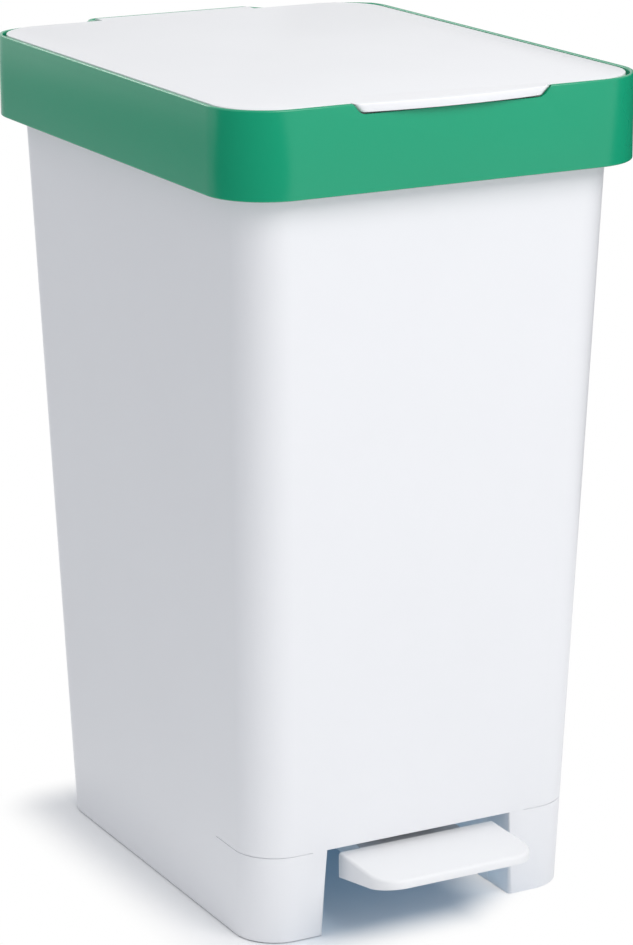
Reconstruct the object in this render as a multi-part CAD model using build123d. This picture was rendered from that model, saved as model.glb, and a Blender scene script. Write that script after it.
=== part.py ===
from build123d import *
import os
from math import asin, atan, atan2, cos, degrees, hypot, radians, sin, tan

# Recycling pedal bin: a tapered tub, a bag ring that drops over its rim, a lid hinged in
# the ring, and a pedal whose lever lifts a rod up the back of the tub to open the lid.
# Millimetres. +Z is up, the front faces -Y, and the floor is z = 0. Everything is drawn
# about the tub's own centre line and moved along Y at the end, so that the finished
# object's box is centred on the origin.

# Tub
BASE_WIDTH = 202.5      # outside, at the floor
BASE_DEPTH = 258.5
RIM_Z = 448.0           # top face of the rim, which carries the ring
RIM_WIDTH = 226.6       # outside of the wall at the rim
RIM_DEPTH = 305.9
TUB_CORNER = 25.0
TUB_WALL = 2.4
FLOOR_Z = 51.8          # underside of the floor, and the top of the pedal cut-out
FLOOR_THICK = 2.4
STEP_UP = 0.8           # the step line above the floor's underside
STEP_IN = 0.4           # below that line the skirt is drawn in a little
SKIRT_Z = 0.8           # the skirt stops short of the ground, on its pads
CUT_OUT_SIDE = 8.8      # from the tread to each side of the pedal cut-out, at its top
CUT_OUT_LEAN = 1.5      # each side leans out by this much on its way down to the ground
CUT_OUT_DEEP = 25.0     # how far in from the foot of the front the cut-out is cut
TUNNEL_WALL = 2.2
FLANGE_THICK = 2.4
LIP_DROP = 12.0         # the rim turns down this far at its outer edge
LIP_THICK = 2.2
LIP_GAP = 1.3           # from the rim's edge to the ring

# Foot pads
PAD_RADIUS = 8.0
PAD_THICK = 2.6
PAD_STEM = 4.0          # radius of the stem that is pressed into its post
PAD_STEM_LONG = 6.0
PAD_INSET = 18.0        # pad centre from the outside of the base
POST_RADIUS = 9.0

# Bag ring
RING_OUT_SIDE = 12.7    # outside of the ring beyond the tub's wall at the rim, at each side
RING_OUT_END = 12.05    # and at the front and the back
RING_CORNER = 34.5
RING_WALL = 2.4
RING_TALL = 47.0
RING_RISE = 22.0        # top edge above the tub's rim
LEDGE_THICK = 2.4
COLLAR_DROP = 14.0      # the collar that traps the bag inside the tub
COLLAR_WALL = 2.0
COLLAR_GAP = 0.8
HOUSING_DEPTH = 11.5    # hinge housing behind the ring
HOUSING_HALF = 58.5     # half width where it leaves the ring
HOUSING_RUN = 7.0       # each side leans in by this much
HOUSING_ROUND = 6.0
HOUSING_TAIL = 12.0     # straight run kept beyond each S curve, on the ring's back
NOTCH_HALF = 53.5       # grip notch in the front wall, at its bottom
NOTCH_DEEP = 5.5
NOTCH_RUN = 6.0         # each end leans out by this much

# Lid
LID_GAP = 2.2           # all round, inside the ring
LID_RECESS = 0.2        # top face below the ring's top edge
LID_THICK = 2.4
LID_RIM_DEEP = 15.0     # turned-down rim, from the top face
LID_RIM_THICK = 2.2
LID_EDGE_ROUND = 1.0
LIP_PROUD = 3.5         # grip lip in front of the ring, at its middle
LIP_PROUD_END = 0.3     # and at its ends
TAB_THICK = 3.3
TAB_CLEAR = 0.8         # from the tab's ends to the notch
LIP_ROUND = 2.2
RIB_THICK = 1.8
RIB_DEEP = 5.0
RIB_X = 52.0            # two long ribs
RIB_Y = 96.0            # two cross ribs, and one between them

# Lid hinge and lift lug
BARREL_RADIUS = 5.0
BOSS_LONG = 7.9         # ring's boss at each end of the lid's barrel
BARREL_CLEAR = 0.6      # to the housing behind and to the bosses at the ends
HINGE_PIN = 2.0         # radius
HINGE_PIN_IN = 14.0     # length of pin inside the barrel
HINGE_PIN_OUT = 3.6     # length of pin inside the boss
PIN_PLAY = 0.05         # radial running clearance of every pin and rod
LID_OPEN = 70.0         # degrees
CRANK_RADIUS = 12.5     # hinge axis to the centre of the lug's nose
LUG_RADIUS = 2.5
LUG_HALF = 5.0
LIFT_GAP = 0.5          # free play at each end of the rod

# Lid buffers
BUFFER_RADIUS = 3.0
BUFFER_GAP = 0.1
BUFFER_IN = 5.5         # buffer centre from the end of the ring's straight front or back

# Lift rod, guides and cover, all set out on the tub's leaning back wall
ROD_RADIUS = 2.5
ROD_OFFSET = 4.2        # rod centre from the wall
ROD_END_HALF = 6.0      # head and shoe, half width
ROD_END_DEEP = 7.0
ROD_END_TALL = 13.0
ROD_SEAT = 9.0          # rod inside its head and its shoe
ROD_SLOT_GAP = 1.5      # round the rod's head where it passes the ledge and the rim
GUIDE_HALF = 8.0
GUIDE_DEEP = 9.0
GUIDE_TALL = 12.0
GUIDE_LOW = 84.0        # centre of the lower guide, up the wall
GUIDE_DOWN = 24.0       # centre of the upper guide below the cover's top
COVER_HALF = 17.0
COVER_DEEP = 13.0
COVER_WALL = 2.0
COVER_FLANGE = 9.0
COVER_LOW = 6.0
COVER_TOP_GAP = 6.0     # from the cover's top to the rim's lip
COVER_SCREW_Z = 32.0

# Pedal
TREAD_HALF = 49.5
TREAD_IN = 0.5          # back of the tread, in from the foot of the tub's front
TREAD_DEEP = 50.75
TREAD_UNDER = 4.2       # top at the back, below the top of the cut-out
TREAD_TALL = 14.8       # at the back
TREAD_THIN = 5.0        # and at the front, where the underside has risen
TREAD_FALL = 0.8        # top at the front, below the top at the back
TREAD_CORNER = 16.0
TREAD_WALL = 2.6
NECK_HALF = 32.0
NECK_LONG = 39.5        # behind the tread
NECK_TALL = 11.0
PIVOT_Y = 20.0
PIVOT_DOWN = 7.0        # pin's centre below the lever's top
PIVOT_PIN = 3.0         # radius
LEVER_HALF = 13.0
LEVER_WALL = 2.0
LEVER_SHORT = 3.5       # from the back of the tread to the lever's front end
LEVER_DEEP = 8.0
LEVER_DEEP_MID = 13.0   # at the pivot
TAIL_HALF = 7.0
TAIL_RADIUS = 3.0
TAIL_LONG = 24.0
TAIL_SLOT_GAP = 2.0     # round the tail where it leaves the tub
TAIL_SLOT_DEEP = 12.0   # to each side of the foot of the back wall
STOP_HALF = 9.0
STOP_THICK = 9.8        # between the floor and the lever's top
STOP_GAP = 8.0          # behind the neck

# Pedal bearings
SADDLE_GAP = 3.5        # from the lever to each saddle
SADDLE_WIDE = 12.0
SADDLE_HALF = 16.0
SADDLE_UNDER = 7.0      # thickness of the cap under the pin's centre
SADDLE_SCREW_Y = 11.0
CLIP_THICK = 1.2
CLIP_GAP = 0.4
CLIP_RADIUS = 5.5
PIN_END = 1.2           # pin beyond its clips

# Screws
SCREW_RADIUS = 1.9
SCREW_HEAD = 3.4
SCREW_HEAD_TALL = 2.0
SCREW_BITE = 9.0

# Worked out from the sizes above
RING_WIDTH = RIM_WIDTH + 2 * RING_OUT_SIDE
RING_DEPTH = RIM_DEPTH + 2 * RING_OUT_END
LEDGE_Z = RIM_Z
LEDGE_TOP = LEDGE_Z + LEDGE_THICK
RING_TOP = RIM_Z + RING_RISE
RING_LOW = RING_TOP - RING_TALL
FLOOR_MID = FLOOR_Z + FLOOR_THICK / 2
FLOOR_TOP = FLOOR_Z + FLOOR_THICK
STEP_Z = FLOOR_Z + STEP_UP
LIP_LOW = RIM_Z - LIP_DROP
SIDE_SLOPE = (RIM_WIDTH - BASE_WIDTH) / 2 / RIM_Z
BACK_SLOPE = (RIM_DEPTH - BASE_DEPTH) / 2 / RIM_Z
BACK_LEAN = atan(BACK_SLOPE)
LID_TOP = RING_TOP - LID_RECESS
LID_UNDER = LID_TOP - LID_THICK
LID_LOW = LID_TOP - LID_RIM_DEEP
LID_INSET = RING_WALL + LID_GAP
NOTCH_LOW = RING_TOP - NOTCH_DEEP
BARREL_HALF = HOUSING_HALF - BOSS_LONG - BARREL_CLEAR
BUFFER_X = RING_WIDTH / 2 - RING_CORNER - BUFFER_IN
HINGE_Y = RING_DEPTH / 2 + HOUSING_DEPTH - RING_WALL - BARREL_CLEAR - BARREL_RADIUS
HINGE_Z = LID_TOP - BARREL_RADIUS
HALF_OPEN = radians(LID_OPEN) / 2
LUG_Y = HINGE_Y - CRANK_RADIUS * cos(HALF_OPEN)
LUG_Z = HINGE_Z - CRANK_RADIUS * sin(HALF_OPEN)
LIFT_Z = 2 * CRANK_RADIUS * sin(HALF_OPEN)      # how far the lug rises
ROD_STROKE = LIFT_Z / cos(BACK_LEAN)
COVER_HIGH = LIP_LOW - COVER_TOP_GAP
GUIDE_HIGH = COVER_HIGH - GUIDE_DOWN
TUNNEL_HALF = TREAD_HALF + CUT_OUT_SIDE         # at the floor's underside
TUNNEL_FOOT = TUNNEL_HALF + CUT_OUT_LEAN        # and at the ground
TREAD_HIGH = FLOOR_Z - TREAD_UNDER
TREAD_NOSE = TREAD_HIGH - TREAD_FALL
TREAD_LOW = TREAD_HIGH - TREAD_TALL
NOSE_LOW = TREAD_NOSE - TREAD_THIN
TREAD_REAR = BASE_DEPTH / 2 - TREAD_IN          # in front of the tub's centre, as the next four
TREAD_FRONT = TREAD_REAR + TREAD_DEEP
NECK_REAR = TREAD_REAR - NECK_LONG
LEVER_FRONT = TREAD_REAR - LEVER_SHORT
STOP_Y = NECK_REAR - STOP_GAP - STOP_HALF
LEVER_TOP = FLOOR_Z - STOP_THICK
NECK_HIGH = LEVER_TOP + TREAD_WALL
NECK_LOW = NECK_HIGH - NECK_TALL
NECK_MID = (LEVER_TOP + NECK_HIGH) / 2
PIVOT_Z = LEVER_TOP - PIVOT_DOWN
TAIL_Z = PIVOT_Z - LIFT_Z / 2
TAIL_Y = BASE_DEPTH / 2 + TAIL_Z * BACK_SLOPE + ROD_OFFSET / cos(BACK_LEAN)
PEDAL_TRAVEL = 2 * degrees(asin(LIFT_Z / 2 / hypot(TAIL_Y - PIVOT_Y, LIFT_Z / 2)))
FRONT_REACH = max(TREAD_FRONT, RING_DEPTH / 2 + LIP_PROUD)
CENTRE_SHIFT = (FRONT_REACH - RING_DEPTH / 2 - HOUSING_DEPTH) / 2


def block(x0, x1, y0, y1, z0, z1):
    """A box between two corners."""
    return Pos((x0 + x1) / 2, (y0 + y1) / 2, (z0 + z1) / 2) * Box(x1 - x0, y1 - y0, z1 - z0)


def bar(radius, x0, x1, y, z):
    """A round bar along X."""
    return Pos((x0 + x1) / 2, y, z) * Rot(0, 90, 0) * Cylinder(radius, x1 - x0)


def post(radius, x, y, z0, z1):
    """A round post along Z."""
    return Pos(x, y, (z0 + z1) / 2) * Cylinder(radius, z1 - z0)


def side_slab(points, x0, x1):
    """A side view, given as (y, z) points, made thick from x0 to x1."""
    outline = make_face(Polyline(*[(0, y, z) for y, z in points], close=True))
    return Pos(x0, 0, 0) * extrude(outline, amount=x1 - x0, dir=(1, 0, 0))


def on_back(shape):
    """Stand a shape on the back wall: x across, y out of the wall, z up along it."""
    return Location((0, BASE_DEPTH / 2, 0), (-degrees(BACK_LEAN), 0, 0)) * shape


def up_back(y, z):
    """How far up the back wall a point at (y, z) lies."""
    return (y - BASE_DEPTH / 2) * sin(BACK_LEAN) + z * cos(BACK_LEAN)


def tapered(inset, z0, z1):
    """The tub's outline drawn in by inset, between two heights."""
    ends = []
    for z in (z0, z1):
        width = BASE_WIDTH + 2 * z * SIDE_SLOPE - 2 * inset
        depth = BASE_DEPTH + 2 * z * BACK_SLOPE - 2 * inset
        ends.append(Plane.XY.offset(z) * RectangleRounded(width, depth, TUB_CORNER - inset))
    return loft(ends, ruled=True)


def straight(inset, z0, z1):
    """The ring's outline without its hinge housing, drawn in by inset."""
    outline = RectangleRounded(RING_WIDTH - 2 * inset, RING_DEPTH - 2 * inset, RING_CORNER - inset)
    return extrude(Plane.XY.offset(z0) * outline, amount=z1 - z0)


def housing(inset, z0, z1):
    """The hinge housing behind the ring, drawn in by inset, with its sides in S curves."""
    lean = atan2(HOUSING_DEPTH, HOUSING_RUN)
    root = HOUSING_HALF - inset * tan(lean / 2)
    wide = HOUSING_HALF + HOUSING_TAIL
    front = RING_DEPTH / 2 - inset
    back = front + HOUSING_DEPTH
    inside = RING_DEPTH / 2 - RING_CORNER
    curve = FilletPolyline(
        (-wide, front), (-root, front), (-root + HOUSING_RUN, back),
        (root - HOUSING_RUN, back), (root, front), (wide, front),
        radius=[HOUSING_ROUND + inset, HOUSING_ROUND - inset, HOUSING_ROUND - inset, HOUSING_ROUND + inset],
    )
    closing = Polyline((wide, front), (wide, inside), (-wide, inside), (-wide, front))
    outline = make_face(curve.edges() + closing.edges())
    return extrude(Plane.XY.offset(z0) * outline, amount=z1 - z0)


def ring_block(inset, z0, z1):
    """The ring's whole outline, housing and all, drawn in by inset."""
    return straight(inset, z0, z1) + housing(inset, z0, z1)


def foot_places():
    """Names and centres of the four feet."""
    x = BASE_WIDTH / 2 - PAD_INSET
    y = BASE_DEPTH / 2 - PAD_INSET
    return {"front_left": (-x, -y), "front_right": (x, -y), "rear_left": (-x, y), "rear_right": (x, y)}


def saddle_span(side):
    """The x range of the bearing on one side."""
    near = LEVER_HALF + SADDLE_GAP
    return sorted((side * near, side * (near + SADDLE_WIDE)))


def saddle_screw_places():
    """Centres of the four screws that hold the saddle caps."""
    x = LEVER_HALF + SADDLE_GAP + SADDLE_WIDE / 2
    return [(sx * x, PIVOT_Y + sy * SADDLE_SCREW_Y) for sx in (-1, 1) for sy in (-1, 1)]


def make_tub():
    """Tub with its floor, skirt, pedal tunnel, foot posts, upper bearing halves and rolled rim."""
    tub = tapered(0, STEP_Z, RIM_Z) + tapered(STEP_IN, SKIRT_Z, STEP_Z)
    tub -= tapered(TUB_WALL, FLOOR_TOP, RIM_Z + FLANGE_THICK)
    tub -= tapered(TUB_WALL + STEP_IN, 0, FLOOR_Z)
    skirt = tapered(STEP_IN + TUB_WALL / 2, SKIRT_Z, FLOOR_Z)
    for side in (-1, 1):
        wall = [(side * TUNNEL_FOOT, 0), (side * (TUNNEL_FOOT + TUNNEL_WALL), 0)]
        wall += [(side * (TUNNEL_HALF + TUNNEL_WALL), FLOOR_Z), (side * TUNNEL_HALF, FLOOR_Z)]
        tub += skirt & front_slab(wall, -BASE_DEPTH, BASE_DEPTH)
        x0, x1 = saddle_span(side)
        tub += block(x0, x1, PIVOT_Y - SADDLE_HALF, PIVOT_Y + SADDLE_HALF, PIVOT_Z, FLOOR_MID)
        tub -= bar(PIVOT_PIN + PIN_PLAY, x0, x1, PIVOT_Y, PIVOT_Z)
    for x, y in saddle_screw_places():
        tub -= post(SCREW_RADIUS, x, y, PIVOT_Z, PIVOT_Z + SCREW_BITE)
    for x, y in foot_places().values():
        tub += post(POST_RADIUS, x, y, PAD_THICK, FLOOR_MID)
        tub -= post(PAD_STEM, x, y, PAD_THICK, PAD_THICK + PAD_STEM_LONG)
    cut_out = [(-TUNNEL_FOOT, 0), (TUNNEL_FOOT, 0), (TUNNEL_HALF, FLOOR_Z), (-TUNNEL_HALF, FLOOR_Z)]
    tub -= front_slab(cut_out, -BASE_DEPTH, -BASE_DEPTH / 2 + CUT_OUT_DEEP)

    inset = RING_WALL + LIP_GAP
    rim = straight(inset, LIP_LOW, RIM_Z)
    rim -= straight(inset + LIP_THICK, LIP_LOW, RIM_Z - FLANGE_THICK)
    rim -= tapered(TUB_WALL / 2, LIP_LOW - LIP_DROP, RIM_Z + FLANGE_THICK)
    tub += rim
    tub -= rod_slot(LIP_LOW, RIM_Z, RING_DEPTH / 2)
    tail = TAIL_HALF + TAIL_SLOT_GAP
    low = TAIL_Z - TAIL_RADIUS - TAIL_SLOT_GAP
    tub -= block(-tail, tail, BASE_DEPTH / 2 - TAIL_SLOT_DEEP, BASE_DEPTH / 2 + TAIL_SLOT_DEEP, low, FLOOR_Z)
    for side in (-1, 1):
        tub -= on_back(cover_screw(side))
    return tub


def rod_slot(z0, z1, back):
    """The way through for the rod's head, from the tub's back wall to a given depth."""
    half = ROD_END_HALF + ROD_SLOT_GAP
    front = BASE_DEPTH / 2 + z1 * BACK_SLOPE
    return block(-half, half, front, back, z0, z1)


def make_foot_pad(x, y):
    """Rubber pad with a stem."""
    return post(PAD_RADIUS, x, y, 0, PAD_THICK) + post(PAD_STEM, x, y, PAD_THICK, PAD_THICK + PAD_STEM_LONG)


def make_saddle_cap(side):
    """Lower half of a bearing, held up by two screws."""
    x0, x1 = saddle_span(side)
    cap = block(x0, x1, PIVOT_Y - SADDLE_HALF, PIVOT_Y + SADDLE_HALF, PIVOT_Z - SADDLE_UNDER, PIVOT_Z)
    cap -= bar(PIVOT_PIN + PIN_PLAY, x0, x1, PIVOT_Y, PIVOT_Z)
    for x, y in saddle_screw_places():
        cap -= post(SCREW_RADIUS, x, y, PIVOT_Z - SADDLE_UNDER, PIVOT_Z)
    return cap


def make_saddle_screws():
    """Four screws, head down, up into the tub's bearing halves."""
    low = PIVOT_Z - SADDLE_UNDER
    screws = []
    for x, y in saddle_screw_places():
        head = post(SCREW_HEAD, x, y, low - SCREW_HEAD_TALL, low)
        screws.append(head + post(SCREW_RADIUS, x, y, low, PIVOT_Z + SCREW_BITE))
    return screws


def make_stop_pad():
    """Bumper under the floor that the lever comes up against."""
    return block(-STOP_HALF, STOP_HALF, -STOP_Y - STOP_HALF, -STOP_Y + STOP_HALF, LEVER_TOP, FLOOR_Z)


def make_rod_guide(centre):
    """Guide block on the back wall, with a running bore for the rod."""
    low, high = centre - GUIDE_TALL / 2, centre + GUIDE_TALL / 2
    guide = block(-GUIDE_HALF, GUIDE_HALF, 0, GUIDE_DEEP, low, high)
    guide -= post(ROD_RADIUS + PIN_PLAY, 0, ROD_OFFSET, low, high)
    return on_back(guide)


def make_rod_cover():
    """Channel cover over the rod, closed at its foot, with a flange down each side."""
    wide = COVER_HALF + COVER_FLANGE
    cover = block(-COVER_HALF, COVER_HALF, 0, COVER_DEEP, COVER_LOW, COVER_HIGH)
    cover = fillet(cover.edges().filter_by(Axis.Z).group_by(Axis.Y)[-1], COVER_WALL)
    cover += block(-wide, wide, 0, COVER_WALL, COVER_LOW, COVER_HIGH)
    inner = COVER_HALF - COVER_WALL
    cover -= block(-inner, inner, 0, COVER_DEEP - COVER_WALL, COVER_LOW + COVER_WALL, COVER_HIGH)
    for side in (-1, 1):
        cover -= cover_screw(side)
    return on_back(cover)


def cover_screw(side):
    """A cover screw, head outwards, on the flat of the back wall."""
    x = side * (COVER_HALF + COVER_FLANGE / 2)
    shank = Cylinder(SCREW_RADIUS, SCREW_BITE, rotation=(90, 0, 0))
    head = Cylinder(SCREW_HEAD, SCREW_HEAD_TALL, rotation=(90, 0, 0))
    screw = Pos(x, COVER_WALL - SCREW_BITE / 2, COVER_SCREW_Z) * shank
    return screw + Pos(x, COVER_WALL + SCREW_HEAD_TALL / 2, COVER_SCREW_Z) * head


def make_bag_ring():
    """Ring: outer wall and hinge housing, the ledge that sits on the rim, and the bag collar."""
    ring = ring_block(0, RING_LOW, RING_TOP) - ring_block(RING_WALL, RING_LOW, RING_TOP)
    ring += ring_block(RING_WALL / 2, LEDGE_Z, LEDGE_TOP)
    outer = TUB_WALL + COLLAR_GAP
    ring += tapered(outer, LEDGE_Z - COLLAR_DROP, (LEDGE_Z + LEDGE_TOP) / 2)
    ring -= tapered(outer + COLLAR_WALL, LEDGE_Z - COLLAR_DROP, LEDGE_TOP)
    ring -= rod_slot(LEDGE_Z, LEDGE_TOP, HINGE_Y - BARREL_RADIUS)
    end = BARREL_HALF + BARREL_CLEAR
    for side in (-1, 1):
        x0, x1 = sorted((side * end, side * HOUSING_HALF))
        boss = bar(BARREL_RADIUS, x0, x1, HINGE_Y, HINGE_Z)
        boss += block(x0, x1, HINGE_Y - BARREL_RADIUS, HINGE_Y + BARREL_RADIUS, LEDGE_TOP, HINGE_Z)
        ring += boss & ring_block(RING_WALL / 2, LEDGE_Z, RING_TOP)
        ring -= hinge_pin(side)
    top = NOTCH_HALF + NOTCH_RUN
    notch = [(-NOTCH_HALF, NOTCH_LOW), (NOTCH_HALF, NOTCH_LOW), (top, RING_TOP), (-top, RING_TOP)]
    ring -= front_slab(notch, -RING_DEPTH / 2, -RING_DEPTH / 2 + RING_WALL)
    return ring


def front_slab(points, y0, y1):
    """A front view, given as (x, z) points, made thick from y0 to y1."""
    outline = make_face(Polyline(*[(x, 0, z) for x, z in points], close=True))
    return Pos(0, y0, 0) * extrude(outline, amount=y1 - y0, dir=(0, 1, 0))


def hinge_pin(side):
    """Stub pin, fixed in the ring's boss and turning in the lid's barrel."""
    inner = BARREL_HALF - HINGE_PIN_IN
    outer = BARREL_HALF + BARREL_CLEAR + HINGE_PIN_OUT
    x0, x1 = sorted((side * inner, side * outer))
    return bar(HINGE_PIN, x0, x1, HINGE_Y, HINGE_Z)


def make_buffers():
    """Four soft dots on the ledge, under the lid's rim."""
    y = RING_DEPTH / 2 - LID_INSET - LID_RIM_THICK / 2
    places = [(sx * BUFFER_X, sy * y) for sx in (-1, 1) for sy in (-1, 1)]
    return [post(BUFFER_RADIUS, px, py, LEDGE_TOP, LID_LOW - BUFFER_GAP) for px, py in places]


def make_lid():
    """Lid: plate, turned-down rim, ribs, grip lip, hinge barrel and lift lug."""
    lid = straight(LID_INSET, LID_LOW, LID_TOP)
    lid = fillet(lid.edges().group_by(Axis.Z)[-1], LID_EDGE_ROUND)
    inner = LID_INSET + LID_RIM_THICK
    lid -= straight(inner, LID_LOW, LID_UNDER)
    rib_zone = straight(inner - LID_RIM_THICK / 2, LID_UNDER - RIB_DEEP, LID_UNDER)
    reach = RING_DEPTH / 2
    thin = RIB_THICK / 2
    for x in (-RIB_X, RIB_X):
        lid += rib_zone & block(x - thin, x + thin, -reach, reach, LID_LOW, LID_UNDER)
    for y in (-RIB_Y, 0, RIB_Y):
        lid += rib_zone & block(-reach, reach, y - thin, y + thin, LID_LOW, LID_UNDER)
    lid += make_grip_tab()

    edge = RING_DEPTH / 2 - LID_INSET
    lid += block(-BARREL_HALF, BARREL_HALF, edge - LID_RIM_THICK, HINGE_Y, LID_UNDER, LID_TOP)
    lid += bar(BARREL_RADIUS, -BARREL_HALF, BARREL_HALF, HINGE_Y, HINGE_Z)
    for side in (-1, 1):
        x0, x1 = sorted((side * (BARREL_HALF - HINGE_PIN_IN - BARREL_CLEAR), side * BARREL_HALF))
        lid -= bar(HINGE_PIN + PIN_PLAY, x0, x1, HINGE_Y, HINGE_Z)

    half = ROD_END_HALF + ROD_SLOT_GAP
    lid -= block(-half, half, edge - LID_RIM_THICK, edge, LID_LOW, LID_UNDER)
    lid += bar(LUG_RADIUS, -LUG_HALF, LUG_HALF, LUG_Y, LUG_Z)
    lid += block(-LUG_HALF, LUG_HALF, LUG_Y - LUG_RADIUS, LUG_Y + LUG_RADIUS, LUG_Z, LID_UNDER)
    return lid


def make_grip_tab():
    """The lid's front tab: it lies in the ring's notch and bows out into a grip lip."""
    low = LID_TOP - TAB_THICK
    lean = NOTCH_RUN / NOTCH_DEEP
    half_low = NOTCH_HALF + (low - NOTCH_LOW) * lean - TAB_CLEAR
    half_top = NOTCH_HALF + (LID_TOP - NOTCH_LOW) * lean - TAB_CLEAR
    front = -RING_DEPTH / 2
    back = front + LID_INSET + LID_RIM_THICK
    view = [(-half_low, low), (half_low, low), (half_top, LID_TOP), (-half_top, LID_TOP)]
    tab = front_slab(view, front - LIP_PROUD, back)
    end = front - LIP_PROUD_END
    bow = ThreePointArc((-half_top, end), (0, front - LIP_PROUD), (half_top, end))
    sides = Polyline((half_top, end), (half_top, back), (-half_top, back), (-half_top, end))
    plan = make_face(bow.edges() + sides.edges())
    tab &= extrude(Plane.XY.offset(low) * plan, amount=TAB_THICK)
    bowed = tab.edges().filter_by(GeomType.CIRCLE).sort_by(Axis.Z)[-1]
    return fillet(bowed, LIP_ROUND)


def make_tread():
    """Moulded tread: a hollow pad that thins towards the front, and a neck that takes the lever."""
    rise = (TREAD_HIGH - TREAD_NOSE) / (TREAD_FRONT - TREAD_REAR)

    def pad(inset, nose_low):
        side = [(-TREAD_FRONT + inset, nose_low), (-TREAD_REAR - inset, TREAD_LOW)]
        side.append((-TREAD_REAR - inset, TREAD_HIGH - inset - rise * inset))
        side.append((-TREAD_FRONT + inset, TREAD_NOSE - inset + rise * inset))
        half = TREAD_HALF - inset
        solid = side_slab(side, -half, half)
        corners = solid.edges().filter_by(Axis.Z).group_by(Axis.Y)[0]
        return fillet(corners, TREAD_CORNER - inset)

    tread = pad(0, NOSE_LOW) - pad(TREAD_WALL, TREAD_LOW)
    neck = block(-NECK_HALF, NECK_HALF, -TREAD_REAR - TREAD_WALL / 2, -NECK_REAR, NECK_LOW, NECK_HIGH)
    rib = LEVER_HALF + TREAD_WALL
    for side in (-1, 1):
        x0, x1 = sorted((side * rib, side * (NECK_HALF - TREAD_WALL)))
        neck -= block(x0, x1, -TREAD_REAR, -NECK_REAR - TREAD_WALL, NECK_LOW, LEVER_TOP)
    tread += neck
    tread -= block(-LEVER_HALF, LEVER_HALF, -TREAD_REAR, -NECK_REAR, NECK_LOW, LEVER_TOP)
    for y in tread_screw_places():
        tread -= post(SCREW_RADIUS, 0, y, LEVER_TOP, NECK_MID)
    return tread


def tread_screw_places():
    """The y of the two screws through the lever into the neck."""
    mid = -(LEVER_FRONT + NECK_REAR) / 2
    reach = (LEVER_FRONT - NECK_REAR) / 4
    return [mid - reach, mid + reach]


def make_tread_screws():
    """Two screws, head down, under the lever's top plate."""
    under = LEVER_TOP - LEVER_WALL
    screws = []
    for y in tread_screw_places():
        head = post(SCREW_HEAD, 0, y, under - SCREW_HEAD_TALL, under)
        screws.append(head + post(SCREW_RADIUS, 0, y, under, NECK_MID))
    return screws


def make_lever():
    """Pressed channel, open below, deepest at the pivot, with a solid round-ended tail."""
    tail_front = TAIL_Y - TAIL_LONG
    tail_top = TAIL_Z + TAIL_RADIUS
    tail_low = TAIL_Z - TAIL_RADIUS
    side = [(-LEVER_FRONT, LEVER_TOP), (PIVOT_Y, LEVER_TOP), (tail_front, tail_top + LEVER_WALL)]
    side += [(tail_front, tail_low), (PIVOT_Y, LEVER_TOP - LEVER_DEEP_MID)]
    side += [(-NECK_REAR, LEVER_TOP - LEVER_DEEP), (-LEVER_FRONT, LEVER_TOP - LEVER_DEEP)]
    lever = side_slab(side, -LEVER_HALF, LEVER_HALF)
    hollow = [(-LEVER_FRONT, LEVER_TOP - LEVER_WALL), (PIVOT_Y, LEVER_TOP - LEVER_WALL)]
    hollow += [(tail_front - LEVER_WALL, tail_top), (tail_front - LEVER_WALL, 0), (-LEVER_FRONT, 0)]
    inner = LEVER_HALF - LEVER_WALL
    lever -= side_slab(hollow, -inner, inner)
    tail = [(tail_front - LEVER_WALL, tail_top), (TAIL_Y, tail_top), (TAIL_Y, tail_low)]
    tail.append((tail_front - LEVER_WALL, tail_low))
    lever += side_slab(tail, -TAIL_HALF, TAIL_HALF)
    lever += bar(TAIL_RADIUS, -TAIL_HALF, TAIL_HALF, TAIL_Y, TAIL_Z)
    lever -= bar(PIVOT_PIN, -LEVER_HALF, LEVER_HALF, PIVOT_Y, PIVOT_Z)
    for y in tread_screw_places():
        lever -= post(SCREW_RADIUS, 0, y, LEVER_TOP - LEVER_WALL, LEVER_TOP)
    return lever


def clip_start():
    """Where the clips begin, just outside the bearings."""
    return LEVER_HALF + SADDLE_GAP + SADDLE_WIDE + CLIP_GAP


def make_pivot_pin():
    """Steel pin, fixed in the lever and turning in the two bearings."""
    end = clip_start() + CLIP_THICK + PIN_END
    return bar(PIVOT_PIN, -end, end, PIVOT_Y, PIVOT_Z)


def make_pin_clips():
    """Two retaining washers on the pin."""
    clips = []
    for side in (-1, 1):
        x0, x1 = sorted((side * clip_start(), side * (clip_start() + CLIP_THICK)))
        clips.append(bar(CLIP_RADIUS, x0, x1, PIVOT_Y, PIVOT_Z) - bar(PIVOT_PIN, x0, x1, PIVOT_Y, PIVOT_Z))
    return clips


# The rod's head ends just under the lug, and its shoe just over the lever's tail.
HEAD_TOP = up_back(LUG_Y, LUG_Z - LUG_RADIUS - LIFT_GAP)
SHOE_LOW = up_back(TAIL_Y, TAIL_Z + TAIL_RADIUS + LIFT_GAP)


def rod_end(low, high, rod_low, rod_high):
    """A moulded end piece with a blind seat for the rod."""
    y0 = ROD_OFFSET - ROD_END_DEEP / 2
    end = block(-ROD_END_HALF, ROD_END_HALF, y0, y0 + ROD_END_DEEP, low, high)
    return on_back(end - post(ROD_RADIUS, 0, ROD_OFFSET, rod_low, rod_high))


def make_rod_head():
    """Cap on the rod's top end."""
    low = HEAD_TOP - ROD_END_TALL
    return rod_end(low, HEAD_TOP, low, low + ROD_SEAT)


def make_rod_shoe():
    """Shoe on the rod's foot."""
    high = SHOE_LOW + ROD_END_TALL
    return rod_end(SHOE_LOW, high, high - ROD_SEAT, high)


def make_push_rod():
    """Steel rod from the shoe to the head."""
    low = SHOE_LOW + ROD_END_TALL - ROD_SEAT
    high = HEAD_TOP - ROD_END_TALL + ROD_SEAT
    return on_back(post(ROD_RADIUS, 0, ROD_OFFSET, low, high))


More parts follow.
